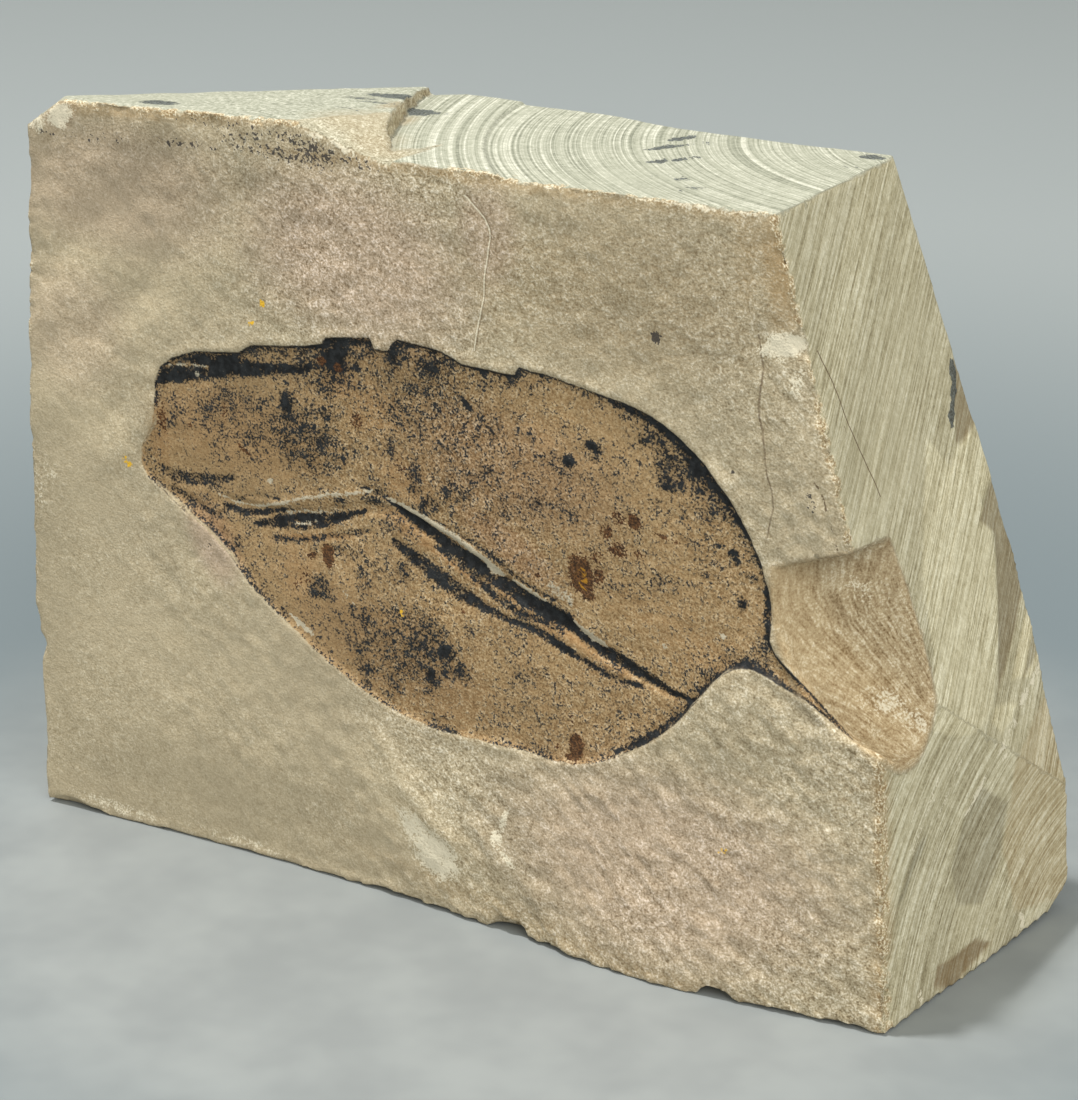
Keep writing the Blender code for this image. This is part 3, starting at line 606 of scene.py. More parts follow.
# How strongly the leaf's margin is drawn in black, at places along it
RIM_STRENGTHS = (
    (20, 55.4, 0.2), (20.3, 59, 0.7), (23, 64, 0.8), (33, 66.2, 0.9), (39, 67.9, 0.8), (45.5, 69.3, 1),
    (53, 69.8, 0.7), (60, 70.9, 0.9), (66, 69.5, 1), (73, 70.2, 0.9), (78, 69.6, 0.6), (84, 68.4, 0.9),
    (92, 65.4, 1), (98.6, 59.3, 1), (102, 53.8, 0.8), (103.4, 50.5, 0.3), (104, 46, 0.5), (104.1, 44, 1),
    (106, 41.2, 1), (109.6, 38.6, 0.9), (113.4, 35.5, 0.7), (109, 37.7, 0.8), (104.4, 39.9, 1),
    (101.2, 40.4, 1), (98.4, 39, 1), (95.4, 35.3, 1), (90, 29.5, 0.9), (84, 25.4, 0.6), (79.2, 23.7, 0.3),
    (74, 23.8, 0.7), (70, 24.2, 0.5), (66, 24, 0.15), (61.2, 24, 0.8), (57, 24.6, 0.3),
    (53.3, 25.3, 0.45), (47.9, 27.8, 0.4), (44, 30, 0.5), (40, 32.4, 0.2), (37.5, 34.2, 0.6),
    (33, 37.7, 0.7), (29.5, 41.6, 0.75), (25, 44.6, 0.6), (20.5, 47.4, 0.7), (17.7, 50.1, 0.15),
    (19, 53, 0.05),
)
STONE_DOTS = (
    (27.9, 93.4, 4.4, 0.7, -8, 0.22), (35.9, 93.3, 5.3, 0.9, -6, 0.34), (41.5, 93, 3.2, 1, -8, 0.44),
    (35.5, 91.6, 6.1, 1.1, -4, 0.34), (41.1, 90.9, 4, 0.8, -6, 0.5), (45.2, 91.5, 3.4, 1.7, -10, 0.56),
    (45.1, 89.9, 1.2, 0.4, 0, 0.4), (51, 91.2, 3.2, 0.9, -10, 0.3), (24.3, 90.5, 3.6, 0.5, 0, 0.42),
    (27.4, 90.7, 2.4, 0.4, 0, 0.42), (15.2, 89.9, 3.8, 0.9, 0, 0.26), (10.4, 89.5, 3.4, 0.5, 0, 0.26),
    (5.5, 89.8, 2, 0.6, -12, 0.36), (30.5, 90.3, 0.8, 0.5, 0, 0.4), (89.2, 76.4, 0.8, 0.36, -6, 1.4),
    (108.6, 60.4, 0.5, 2.6, 22, 0.34), (98.9, 62.6, 0.3, 0.3, 0, 0.9), (27.6, 41.2, 0.3, 0.3, 0, 0.9),
)
RUST_PATCHES = (
    (84.6, 54.7, 1, 1.1, 0, 0.5), (86.7, 54.5, 0.9, 1.1, 30, 0.85), (83.1, 52.7, 1, 0.9, 45, 0.66),
    (84.6, 50.8, 1.3, 1, 0, 0.6), (81.7, 49.3, 1, 1, 45, 0.45), (79.7, 46.8, 1.7, 2.7, 10, 0.92),
    (82, 47.2, 0.9, 1.2, 0, 0.55), (80.5, 44.4, 1, 0.6, 0, 0.8), (87.2, 50.7, 0.9, 0.7, 0, 0.45),
    (90.1, 53.5, 1.1, 0.3, -15, 0.6), (92.2, 53, 0.9, 0.3, -30, 0.5), (73.9, 45.7, 0.4, 0.3, 0, 0.8),
    (44.7, 66.9, 0.7, 0.6, 0, 0.95), (47.1, 66.4, 0.6, 0.6, 0, 0.85), (49.5, 60.3, 1, 1.2, 0, 0.5),
    (32.8, 54.1, 1.2, 0.24, -40, 1), (44.7, 42.6, 0.9, 1.6, 5, 0.98), (42.4, 42.2, 0.9, 0.6, 20, 0.6),
    (40.1, 38.1, 0.6, 0.5, 0, 0.5), (41.2, 39.4, 1.3, 1.6, 0, 0.3), (63.9, 39.3, 0.35, 0.35, 0, 0.9),
    (30.3, 58.1, 0.5, 1.9, 0, 0.4), (21, 56, 0.7, 2.6, 0, 0.5), (25.1, 55.8, 0.5, 0.4, 0, 0.6),
    (79.4, 25.7, 1.05, 1.7, 0, 1), (78.5, 24.3, 0.6, 0.4, 0, 0.95), (76.8, 25.2, 0.3, 0.3, 0, 0.9),
    (78.5, 28.6, 0.3, 1.2, 0, 0.4), (54.5, 55.5, 3, 2, -20, 0.18),
)
GOLD_PATCHES = (
    (79.8, 46.4, 0.9, 1.7, 10, 0.62), (36.9, 72.9, 0.6, 0.32, -35, 1.5), (35.2, 70.2, 0.34, 0.3, 0, 1.3),
    (15.5, 49.9, 0.9, 0.34, -40, 1.4), (99.2, 17.9, 0.7, 0.34, 10, 1), (55.4, 37.4, 0.36, 0.8, 0, 0.8),
)
TAN_PATCHES = (
    (84, 80, 18, 9, 0, 0.3), (99.8, 86.6, 1.6, 6.4, 0, 0.5), (103.6, 86, 2.2, 5.6, 10, 1),
    (104.2, 80.6, 1.8, 1.4, 0, 0.7), (72, 41, 6, 0.8, -27, 0.55), (80, 37.9, 6, 0.8, -24, 0.55),
    (85.6, 35.7, 2.4, 0.5, -24, 0.5), (56, 48.2, 4, 1.2, -26, 0.8), (42, 44.4, 6, 0.5, 10, 0.9),
    (62, 44.9, 5, 0.4, -26, 0.8), (32, 56, 12, 5, -4, 0.4), (54, 32, 14, 6, -20, 0.35),
    (41, 39, 3, 4, 20, 0.45), (52, 62, 4, 3, 0, 0.45), (47, 65, 2.6, 2.4, 0, 0.6),
    (20.6, 54, 1.6, 4, 0, 0.6), (56, 54, 4, 3, -20, 0.4), (92, 42, 9, 3, -20, 0.2),
    (119.4, 22, 1.7, 11, 3, 0.8), (119.2, 8, 1.4, 8, 0, 0.5), (118.6, 30.6, 1.8, 3, 0, 0.7),
    (65, 91.4, 26, 0.7, 0, 0.6), (18, 93.4, 20, 0.8, 3, 0.7), (84, 91, 22, 0.9, 0, 0.5),
    (84, 1.5, 36, 1.6, -6, 0.35), (54, 92, 3, 1, -8, 0.8),
)
PALE_PATCHES = (
    (104.6, 77.6, 2.6, 1.5, 10, 0.9), (102.6, 76.6, 1.5, 0.7, -10, 0.6), (106.3, 74, 1, 2.2, -20, 0.5),
    (60.4, 7.6, 4, 3.4, -35, 0.78), (57.4, 10.4, 3.4, 2.2, -35, 0.66), (69.2, 12.2, 1, 1.2, 0, 0.76),
    (70.8, 9.8, 1.6, 0.4, -45, 0.76), (70.2, 14.5, 0.5, 2, -20, 0.62), (8.1, 92.1, 2.3, 1.6, 30, 0.9),
    (4.4, 90.6, 1.6, 1.2, 40, 0.6), (36.5, 50.6, 0.5, 0.4, 0, 0.9), (26.4, 62.4, 0.5, 0.3, 0, 0.6),
    (114.5, 36.4, 2.6, 1.5, -30, 0.45), (117.6, 34.4, 2, 1, -35, 0.5), (111, 49, 1, 2.4, 30, 0.3),
    (120, 11, 0.6, 1.4, 0, 0.9), (120.2, 16.8, 0.5, 0.6, 0, 0.8), (119.6, 25, 0.5, 0.5, 0, 0.8),
    (119.4, 4, 0.5, 0.7, 0, 0.7), (92, 91.6, 11, 0.7, -1, 0.66), (100.5, 91.8, 3, 0.8, 0, 0.8),
    (90.5, 40.3, 0.4, 0.3, 0, 0.9), (98, 43.3, 0.5, 0.4, 0, 0.9), (77, 44, 2.6, 0.9, -25, 0.5),
    (3, 46, 3, 1.6, 40, 0.3), (1.6, 43, 1.6, 1.6, 0, 0.4), (10, 1.6, 8, 1, -4, 0.4),
    (31, 1.2, 8, 0.8, -2, 0.35), (49, 92.8, 2.4, 0.6, -25, 0.9), (45.2, 93.6, 1.2, 0.5, 0, 0.8),
)
# Broad tones of the front: how much lighter or darker than its mean. The slanting light and dark bands in
# the upper left are painted light and shade of its ripples
TONE_AND_SHADE_PATCHES = (
    (22, 88, 24, 5, -2, -0.42), (60, 88, 8, 4, 0, -0.2), (52, 79, 10, 10, 30, 0.34),
    (11, 76, 9, 2.4, 38, 0.4), (26, 82, 8, 2, 34, 0.26), (14, 69, 9, 1.8, 38, -0.34),
    (8, 62, 7, 2.6, 38, 0.3), (12, 54, 5, 4, 0, 0.4), (24, 72, 12, 3, 30, 0.2), (86, 82, 18, 9, -4, -0.5),
    (94, 72, 9, 7, -30, -0.25), (104, 66, 3, 8, 0, -0.1), (20, 26, 16, 12, -20, 0.26),
    (58, 13, 12, 6, -35, 0.6), (38, 12, 10, 8, -20, 0.1), (68, 20, 12, 2.2, -22, -0.3),
    (84, 12, 12, 3, -30, 0.22), (100, 8, 12, 3, -30, 0.2), (104, 26, 10, 5, 0, 0.12),
    (78, 4, 20, 2, -12, -0.3), (88, 40, 12, 6, -20, 0.34), (52, 30, 14, 5, -10, -0.1),
    (76, 30, 14, 4, 0, -0.12), (92, 52, 9, 6, 0, 0.18), (68, 62, 8, 4, 0, 0.12),
    (30, 53, 10, 2.4, -6, 0.18), (61, 39.4, 4, 2.2, -30, 0.4), (30, 57, 11, 6, 0, -0.3),
    (54, 32, 13, 6, -20, -0.5), (54, 66, 8, 3, 0, -0.22), (2, 80, 2.4, 12, 0, -0.3),
    (108.8, 36.9, 2.9, 0.9, -38, -0.8), (96, 88.4, 7, 2.2, 0, -0.1),
)
MAUVE_PATCHES = (
    (50, 80, 16, 10, -10, 0.9), (16, 84, 18, 8, 0, 0.6), (28.2, 41.4, 3, 5.6, 30, 0.9),
    (92, 14, 22, 12, 0, 0.8), (8, 66, 8, 8, 0, 0.4), (70, 58, 14, 7, -10, 0.5),
    (70, 48.6, 8, 2.4, -28, 0.7), (68, 85, 4, 6, 0, 0.7), (8.1, 92.1, 3, 2, 30, 0.6),
)
# Black smears on the top, by x and depth: low ones in the bite, high ones beside it. The one at x 20.1 is a
# painted shadow
TOP_SMEARS_AND_SHADE = (
    (77.2, 28, 1, 2.4, -20, 0.85), (78, 23.1, 0.9, 3.6, -28, 0.8), (82.2, 18.1, 0.8, 3.2, -28, 0.7),
    (80.2, 15.5, 0.7, 2.8, -28, 0.75), (84.1, 10, 0.5, 2, -30, 0.5), (86.8, 9.5, 0.8, 2.6, -28, 0.6),
    (90.2, 6.1, 0.9, 2.2, -30, 0.5), (74.4, 35.4, 6, 1, -6, 0.8), (100.4, 30.2, 1.6, 1.2, 0, 0.9),
    (100.1, 24.4, 1.4, 0.8, 0, 0.5), (80.7, 27, 2, 1.6, 0, 0.3), (94.5, 33.7, 4, 0.6, -5, 0.6),
    (41.5, 22.5, 5, 2, 0, 0.75), (42.3, 16.9, 4, 1.4, 0, 0.4), (44.6, 23.9, 3, 1.2, 0, 0.75),
    (38.7, 18.9, 3, 1.2, 0, 0.5), (20.1, 3.8, 3, 1.8, 0, 0.7), (42.1, 11, 3, 0.5, -20, 0.5),
)
# Tan stains on the top, by x and depth
TOP_TAN = (
    (46.6, 6.6, 6, 5, 0, 0.35), (51.6, 2.9, 4, 3, 0, 0.4), (45.1, 17, 1.6, 4, 0, 0.6),
)
# The stalk's print, which runs on over the edge of the scar at a slant
STALK_LINE = ((103.4, 47.5), (104.0, 44.0), (105.4, 41.4), (109.3, 38.2), (114.6, 34.4), (120.0, 30.0))
PRINT_LEAN = 0.465


def patch_cover(u, v, patches):
    """How densely soft patches cover each place: the densest patch there counts."""
    cover = np.zeros(len(u))
    for share in patch_shares(u, v, patches):
        cover = np.maximum(cover, share)
    return cover


def patch_shares(u, v, patches):
    """What each soft patch gives at each place."""
    for centre_u, centre_v, half_u, half_v, turn, density in patches:
        cosine = math.cos(math.radians(turn))
        sine = math.sin(math.radians(turn))
        along = ((u - centre_u) * cosine + (v - centre_v) * sine) / half_u
        across = ((v - centre_v) * cosine - (u - centre_u) * sine) / half_v
        yield density * (1.0 - ramp(np.hypot(along, across), 0.45, 1.4))


def line_cover(u, v, lines):
    """How densely lines with widths cover each place."""
    cover = np.zeros(len(u))
    for density, line in lines:
        gap, reach, width = line_distance(u, v, line)
        cover = np.maximum(cover, density * (1.0 - ramp(np.abs(gap), 0.38 * width, 0.7 * width + 0.1)))
    return cover


def crack_gap(u, v, line, drift):
    """Distance to a wandering crack, and far off beyond its ends."""
    gap, reach, width = line_distance(u, v, line)
    within = (reach > 0.02) & (reach < reach.max() - 0.02)
    return np.where(within, gap + drift, 5.0)


def rim_strength(x, z):
    """How strongly the margin is drawn, blended between the places of RIM_STRENGTHS."""
    weights = np.zeros(len(x))
    strength = np.zeros(len(x))
    for place_x, place_z, place_strength in RIM_STRENGTHS:
        weight = 1.0 / (np.square(x - place_x) + np.square(z - place_z) + 0.3) ** 2
        weights += weight
        strength += weight * place_strength
    return strength / weights


def film_density(places, depth):
    """The share of the leaf that carbon still covers: a thin dust, patches, bands and the midrib."""
    x, y, z = places.T
    patchy = 0.95 + 0.55 * lumps(places, 1.1, 41) + 0.45 * lumps(places, 2.6, 42)
    dust = 0.12 + 0.10 * lumps(places, 2.4, 43) + 0.09 * lumps(places, 6.0, 44)
    patches = 1.1 * patch_cover(x, z, CARBON_PATCHES) * np.clip(patchy, 0.3, 1.35)
    rim = rim_strength(x, z)
    near_rim = rim * rim * (1.0 - 0.6 * ramp(x, 103.5, 105.5))
    near_rim *= 0.95 - 0.5 * ramp(depth, 0.25, 0.8) - 0.4 * ramp(depth, 0.8, 2.8)
    near_rim *= np.clip(patchy, 0.3, 1.4)
    drawn = np.maximum(line_cover(x, z, RIB_FILM), line_cover(x, z, CARBON_BANDS))
    drawn *= np.clip(1.0 + 0.18 * lumps(places, 1.0, 45), 0.0, 1.1)
    share = np.maximum(np.maximum(dust, patches), np.maximum(near_rim, drawn))
    return np.interp(share, FILM_SHARES, FILM_LEVELS)


def end_marks(places):
    """Tone, tan and scratches of the ground right end, with painted light and shade on its flats, and its
    black lens.
    """
    y, z = places[:, 1], places[:, 2]
    lines = np.stack((*end_directions(places, z < LOWER_END_TOP), z), axis=1)
    tone = 0.10 * lumps(lines, (2.6, 30.0, 90.0), 51)
    tan = np.zeros(len(y))
    # Each flat is painted lighter or darker, as the light and shade of a facet
    for lighter, browner, corners in END_FLATS:
        share = ramp(depth_inside(y, z, corners), -0.25, 0.35)
        tone += share * (lighter - tone)
        tan += share * (browner - tan)
    front_edge = 0.55 * (1.0 - ramp(y, 0.4, 2.6)) * ramp(z, 6.0, 12.0)
    tan = np.maximum(tan, front_edge * (1.0 - ramp(z, 33.0, 38.0)))
    streak, reach, width = line_distance(y, z, END_STREAK)
    tone -= 0.7 * (1.0 - ramp(np.abs(streak), 0.2 * width, 0.8 * width + 0.1))
    lens = ramp(depth_inside(y, z, END_LENS), -0.1, 0.15)
    return tone, tan, line_cover(y, z, END_SCRATCHES), lens


def scar_marks(places):
    """Tone and tan of the flake scar: a pale yellowish side that is painted light on its lit wall, a darker
    middle, and a painted shadow under the ledge.
    """
    x, y, z = places.T
    gap, reach, width = line_distance(x, z, SCAR_SIDE)
    streaks = np.stack((*scar_directions(places), 0.1 * y), axis=1)
    # The side's paleness is a painted highlight on the scar's lit wall
    side = 1.0 - ramp(np.abs(gap), 1.5, 4.5)
    tone = 0.55 * side - 0.10 + 0.22 * lumps(streaks, (1.5, 12.0, 9.0), 52)
    # Painted shadow: darker just under the ledge, more so towards the right
    ledge = -plane_distance(places, SCAR_LEDGE)
    tone -= 0.5 * (1.0 - ramp(ledge, 0.3, 3.2)) * (0.6 + 0.4 * ramp(x, 108.0, 113.0))
    return tone, 0.2 * side


def store(mesh, name, values):
    """Keep one number or place per vertex under a name that the material reads."""
    values = np.asarray(values, np.float32)
    kind = "FLOAT" if values.ndim == 1 else "FLOAT_VECTOR"
    layer = mesh.attributes.new(name, kind, "POINT")
    layer.data.foreach_set("value" if values.ndim == 1 else "vector", values.ravel())


def mark(made):
    """Store every mask that the stone's material reads."""
    places, normals = read_places(made.data)
    x, y, z = places.T
    face = faces_of_block(places, normals)
    front = face["front"]
    printed = places + np.outer(y * face["scar"], (PRINT_LEAN, 0.0, PRINT_LEAN))
    printed_x, printed_z = printed[:, 0], printed[:, 2]
    depth = depth_inside(printed_x, printed_z, LEAF_LINE)
    beyond_stalk = ramp(line_distance(printed_x, printed_z, STALK_LINE)[0], -0.5, 0.2)
    front = np.maximum(front, face["scar"] * (1.0 - beyond_stalk))
    scar = face["scar"] * beyond_stalk
    end_tone_and_shade, end_tan, end_pale, lens = end_marks(places)
    scar_tone_and_shade, scar_tan = scar_marks(places)
    front_tone_and_shade = 0.14 * lumps(places, 7.0, 46) + 0.10 * lumps(places, 3.0, 47)
    # Broad tones, with the painted light and shade of the ripple bands
    for share in patch_shares(x, z, TONE_AND_SHADE_PATCHES):
        front_tone_and_shade += share
    # Tone with painted light and shade: the front's ripple bands, the right end's flats, the scar's lit
    # side and ledge shadow
    tone = front * front_tone_and_shade + 2.3 * face["right"] * end_tone_and_shade + scar * scar_tone_and_shade
    tone += face["rough"] * (0.2 * lumps(places, 9.0, 48) + 0.12 * lumps(places, 3.5, 49))
    tone += face["top"] * (0.10 * lumps(places, 5.0, 50) - 0.05)
    tan = front * patch_cover(x, z, TAN_PATCHES) + face["right"] * end_tan + scar * scar_tan
    tan += (face["top"] + face["break"]) * patch_cover(x, y, TOP_TAN)
    tan += face["rough"] * np.clip(0.1 + 0.5 * lumps(places, 7.0, 53), 0.0, 0.5)
    slivers = line_cover(x, z, RIB_SLIVERS)
    crumbly = 0.42 + 0.5 * ramp(x + 0.4 * (z - 60.0), 24.0, 52.0) + 0.22 * lumps(places, 9.0, 54)
    crumbly += 0.12 * face["top"] - 0.2 * ramp(x, 70.0, 84.0) * ramp(z, 44.0, 60.0)
    pale = np.maximum(patch_cover(x, z, PALE_PATCHES) * (front + scar), front * slivers)
    smear = (face["top"] + face["break"]) * patch_cover(x, y, TOP_SMEARS_AND_SHADE)
    drift = 1.3 * lumps(places, 5.0, 55)
    film = film_density(printed, depth)
    masks = {
        "front": front,
        "scar": scar,
        "break": face["break"],
        "right": face["right"],
        "top": face["top"],
        "bite": face["bite"],
        "rough": face["rough"],
        "tool_run": tool_run(places, face),
        "leaf_depth": np.clip(depth, -8.0, 8.0),
        "rim": rim_strength(printed_x, printed_z),
        "carbon": (front + scar) * film * (1.0 - 0.9 * slivers),
        "stone_dots": front * patch_cover(x, z, STONE_DOTS),
        "rust": front * patch_cover(x, z, RUST_PATCHES),
        "gold": front * patch_cover(x, z, GOLD_PATCHES),
        "mauve": front * patch_cover(x, z, MAUVE_PATCHES),
        "tan": tan,
        "tone": np.clip(tone, -1.2, 1.2),
        "pale": np.maximum(pale, face["right"] * end_pale),
        "smear": np.maximum(smear, face["right"] * lens),
        "crumbly": np.clip(crumbly, 0.35, 1.25),
        "wear": edge_wear(places) * (1.0 - 0.6 * face["scar"]),
        "pale_crack": crack_gap(x, z, STEP_CRACK, drift),
        "dark_crack": crack_gap(x, z, DARK_CRACK, drift),
        "ledge_crack": crack_gap(x, z, LEDGE_CRACK, drift),
        "end_crack": crack_gap(y, z, END_CRACK, 0.15 * drift),
    }
    for name, values in masks.items():
        store(made.data, name, values)


mark(plate)


# The stone's finish: dull siltstone, tan where the leaf lay, whitish where the disc cut it fresh,
# pale olive where it was ground, with carbon, rust and pale crumbs laid over by the masks, and painted
# light and shade laid over by some of them.
class Shade:
    """One socket of the stone's material. Arithmetic on it adds Math nodes."""

    tree = None

    def __init__(self, socket):
        self.socket = socket

    @classmethod
    def node(cls, kind, settings, inputs, output=0):
        """Add a node: its settings or a ramp's stops first, then the values or links of its sockets."""
        made = cls.tree.nodes.new(kind)
        for name, value in settings.items():
            if name == "stops":
                ramp_stops = made.color_ramp.elements
                while len(ramp_stops) < len(value):
                    ramp_stops.new(1.0)
                for stop, (position, colour) in zip(ramp_stops, value):
                    stop.position = position
                    stop.color = colour
            else:
                setattr(made, name, value)
        for name, value in inputs.items():
            if isinstance(value, cls):
                cls.tree.links.new(value.socket, made.inputs[name])
            else:
                made.inputs[name].default_value = value
        return cls(made.outputs[output])

    def math(self, operation, *others):
        """Add one Math node on this socket and up to two more values."""
        inputs = dict(enumerate((self,) + others))
        return Shade.node("ShaderNodeMath", {"operation": operation}, inputs)

    def __add__(self, other):
        return self.math("ADD", other)

    __radd__ = __add__

    def __mul__(self, other):
        return self.math("MULTIPLY", other)

    __rmul__ = __mul__

    def __sub__(self, other):
        return self.math("SUBTRACT", other)

    def __rsub__(self, other):
        return Shade.node("ShaderNodeMath", {"operation": "SUBTRACT"}, {0: other, 1: self})

    def step(self, low, high):
        """A smooth step of this value from 0 at low to 1 at high."""
        inputs = {"Value": self, "From Min": low, "From Max": high}
        return Shade.node("ShaderNodeMapRange", {"interpolation_type": "SMOOTHSTEP"}, inputs)


def attribute(name, output=2):
    """A mask that is stored on the mesh."""
    return Shade.node("ShaderNodeAttribute", {"attribute_name": name}, {}, output)


def grain(place, size, detail=2.0, roughness=0.55):
    """Even noise from 0 to 1 with lumps of one size in millimetres."""
    inputs = {"Vector": place, "Scale": 1.0 / size, "Detail": detail, "Roughness": roughness}
    return Shade.node("ShaderNodeTexNoise", {}, inputs)


def vector_math(operation, first, second):
    """One Vector Math node that gives a vector."""
    return Shade.node("ShaderNodeVectorMath", {"operation": operation}, {0: first, 1: second})


def blend(share, first, second):
    """Mix two colours by a share."""
    return Shade.node("ShaderNodeMix", {"data_type": "RGBA"}, {0: share, 6: first, 7: second}, 2)


def tint(red, green, blue):
    """A colour from its values on a screen, 0 to 255, as the light that it reflects."""
    screen = (red / 255.0, green / 255.0, blue / 255.0)
    linear = [value / 12.92 if value <= 0.04045 else ((value + 0.055) / 1.055) ** 2.4 for value in screen]
    return (*linear, 1.0)


def ramp_colour(value, *stops):
    """A colour ramp over a value, with its stops as a position and a colour on a screen."""
    made = [(position, tint(*colour)) for position, colour in stops]
    return Shade.node("ShaderNodeValToRGB", {"stops": made}, {0: value})


def shaded(colour, amount):
    """A colour made lighter or darker by an amount around 1."""
    return Shade.node("ShaderNodeVectorMath", {"operation": "SCALE"}, {0: colour, "Scale": amount})


def siltstone():
    """The one material of the plate."""
    material = bpy.data.materials.new("siltstone_plate")
    material.use_nodes = True
    Shade.tree = material.node_tree
    surface = Shade.tree.nodes["Principled BSDF"]
    metres = Shade.node("ShaderNodeTexCoord", {}, {}, 3)
    place = Shade.node("ShaderNodeVectorMath", {"operation": "SCALE"}, {0: metres, "Scale": 1.0 / MM})

    fine = grain(place, 0.27, 1.5, 0.65)
    medium = grain(place, 1.0, 2.0, 0.6)
    strokes = grain(attribute("tool_run", 1), 1.0, 2.0, 0.65)
    speckle = fine.step(0.27, 0.73)
    cloud = medium.step(0.28, 0.72)
    stroke = strokes.step(0.28, 0.72)
    right, top, scar = attribute("right"), attribute("top"), attribute("scar")
    tooled = (right + top + scar * 0.4).math("MINIMUM", 1.0)
    bedded = speckle * 0.5 + cloud * 0.25 + stroke * 0.25
    tool_marks = stroke * 0.6 + speckle * 0.2 + cloud * 0.2
    grit = (bedded + (tool_marks - bedded) * tooled - 0.5) * attribute("crumbly") + 0.5

    # Stone of each face, from its pits to its grains
    stone = ramp_colour(grit, (0.1, (120, 104, 76)), (0.36, (162, 147, 118)),
                        (0.6, (185, 171, 142)), (0.9, (228, 217, 193)))
    leaf_stone = ramp_colour(grit, (0.1, (96, 72, 42)), (0.32, (141, 113, 76)),
                             (0.58, (168, 141, 102)), (0.9, (210, 188, 152)))
    ground = ramp_colour(grit, (0.1, (124, 113, 83)), (0.38, (167, 157, 126)),
                         (0.62, (191, 182, 152)), (0.9, (221, 214, 188)))
    fresh = ramp_colour(grit, (0.1, (116, 117, 100)), (0.4, (153, 153, 134)),
                        (0.62, (170, 169, 150)), (0.88, (206, 204, 186)))
    flaked = ramp_colour(grit, (0.1, (112, 90, 58)), (0.36, (154, 133, 100)),
                         (0.6, (177, 158, 124)), (0.9, (216, 203, 174)))
    broken = ramp_colour(grit, (0.1, (104, 90, 64)), (0.36, (148, 134, 106)),
                         (0.6, (178, 166, 137)), (0.9, (216, 206, 180)))

    front, leaf = attribute("front"), attribute("leaf_depth")
    ragged = leaf + (medium - 0.5) * 0.3
    split = (front + scar).math("MINIMUM", 1.0)
    on_leaf = ragged.step(-0.06, 0.08) * split
    colour = blend(on_leaf, stone, leaf_stone)
    mauve = blend(attribute("mauve"), (1.0, 1.0, 1.0, 1.0), (0.97, 0.89, 0.95, 1.0))
    colour = vector_math("MULTIPLY", colour, mauve)
    colour = blend(attribute("rough"), colour, broken)
    colour = blend(right, colour, ground)
    colour = blend(top, colour, fresh)
    colour = blend(scar, colour, blend(on_leaf, flaked, leaf_stone))
    colour = blend(attribute("break"), colour, blend(0.5, fresh, broken))
    brown = blend(on_leaf, tint(158, 130, 88), tint(164, 124, 80))
    colour = blend(attribute("tan") * ((1.05 - 0.6 * grit) * 0.8), colour, brown)
    # Broad tone, with painted light and shade: the front's ripple bands, the right end's flats, the scar's
    # lit side and the shadow under its ledge
    colour = shaded(colour, attribute("tone") * 0.3 + 1.0)

    # Carbon film and the leaf's black margin
    dust = grain(place, 0.28, 1.5, 0.6).step(0.28, 0.72)
    film = (dust * 0.6 + cloud * 0.4 + attribute("carbon") - 1.0).step(-0.26, 0.23) * on_leaf
    margin = (ragged - 0.12).math("ABSOLUTE").step(0.3, 0.08) * split
    film = film.math("MAXIMUM", margin * (attribute("rim") + dust * 0.8 - 0.8).step(0.0, 0.35))
    colour = blend(attribute("carbon").step(0.25, 0.85) * on_leaf * 0.42, colour, tint(74, 66, 54))
    colour = blend(film, colour, ramp_colour(cloud, (0.2, (14, 15, 15)), (0.9, (36, 38, 39))))

    # Rust, gold specks, dark dots, cracks, the painted highlight and shadow of the step crack, and pale
    # crumbs
    rust = (stroke * 0.4 + dust * 0.6 + attribute("rust") * 1.25 - 1.0).step(-0.12, 0.12)
    colour = blend(rust * 0.92, colour, ramp_colour(speckle, (0.2, (44, 25, 13)), (0.9, (104, 66, 32))))
    gold = (stroke * 0.8 + attribute("gold") - 1.0).step(-0.05, 0.2)
    colour = blend(gold, colour, blend(rust, tint(226, 178, 52), tint(166, 118, 34)))
    dots = (stroke * 0.8 + cloud * 0.2 + attribute("stone_dots") - 1.0).step(-0.03, 0.06)
    colour = blend(dots * 0.9, colour, tint(54, 50, 48))
    wander = (medium - 0.5) * 0.35
    # The step crack: a painted highlight along it and a painted shadow just beside it
    pale_crack = (attribute("pale_crack") + wander).math("ABSOLUTE").step(0.16, 0.04)
    crack_shadow = (attribute("pale_crack") + wander - 0.24).math("ABSOLUTE").step(0.22, 0.06)
    colour = blend(crack_shadow * front * 0.45, colour, tint(112, 92, 66))
    dark_crack = (attribute("dark_crack") + wander).math("ABSOLUTE").step(0.2, 0.05)
    dark_crack = dark_crack * front * (cloud * 0.5 + 0.4)
    ledge_crack = (attribute("ledge_crack") + wander * 2.0).math("ABSOLUTE").step(0.2, 0.06)
    ledge_crack = ledge_crack * cloud.step(0.45, 0.65) * front
    end_crack = attribute("end_crack").math("ABSOLUTE").step(0.14, 0.05) * right
    cracks = dark_crack.math("MAXIMUM", ledge_crack).math("MAXIMUM", end_crack)
    colour = blend(cracks * 0.85, colour, tint(86, 66, 43))
    pale = (speckle * 0.5 + cloud * 0.3 + attribute("pale") - 0.8).step(-0.12, 0.3)
    # The step crack's painted highlight joins the pale crumbs
    pale = pale.math("MAXIMUM", pale_crack * front)
    colour = blend(pale * 0.85, colour, blend(on_leaf, tint(222, 212, 186), tint(192, 182, 158)))
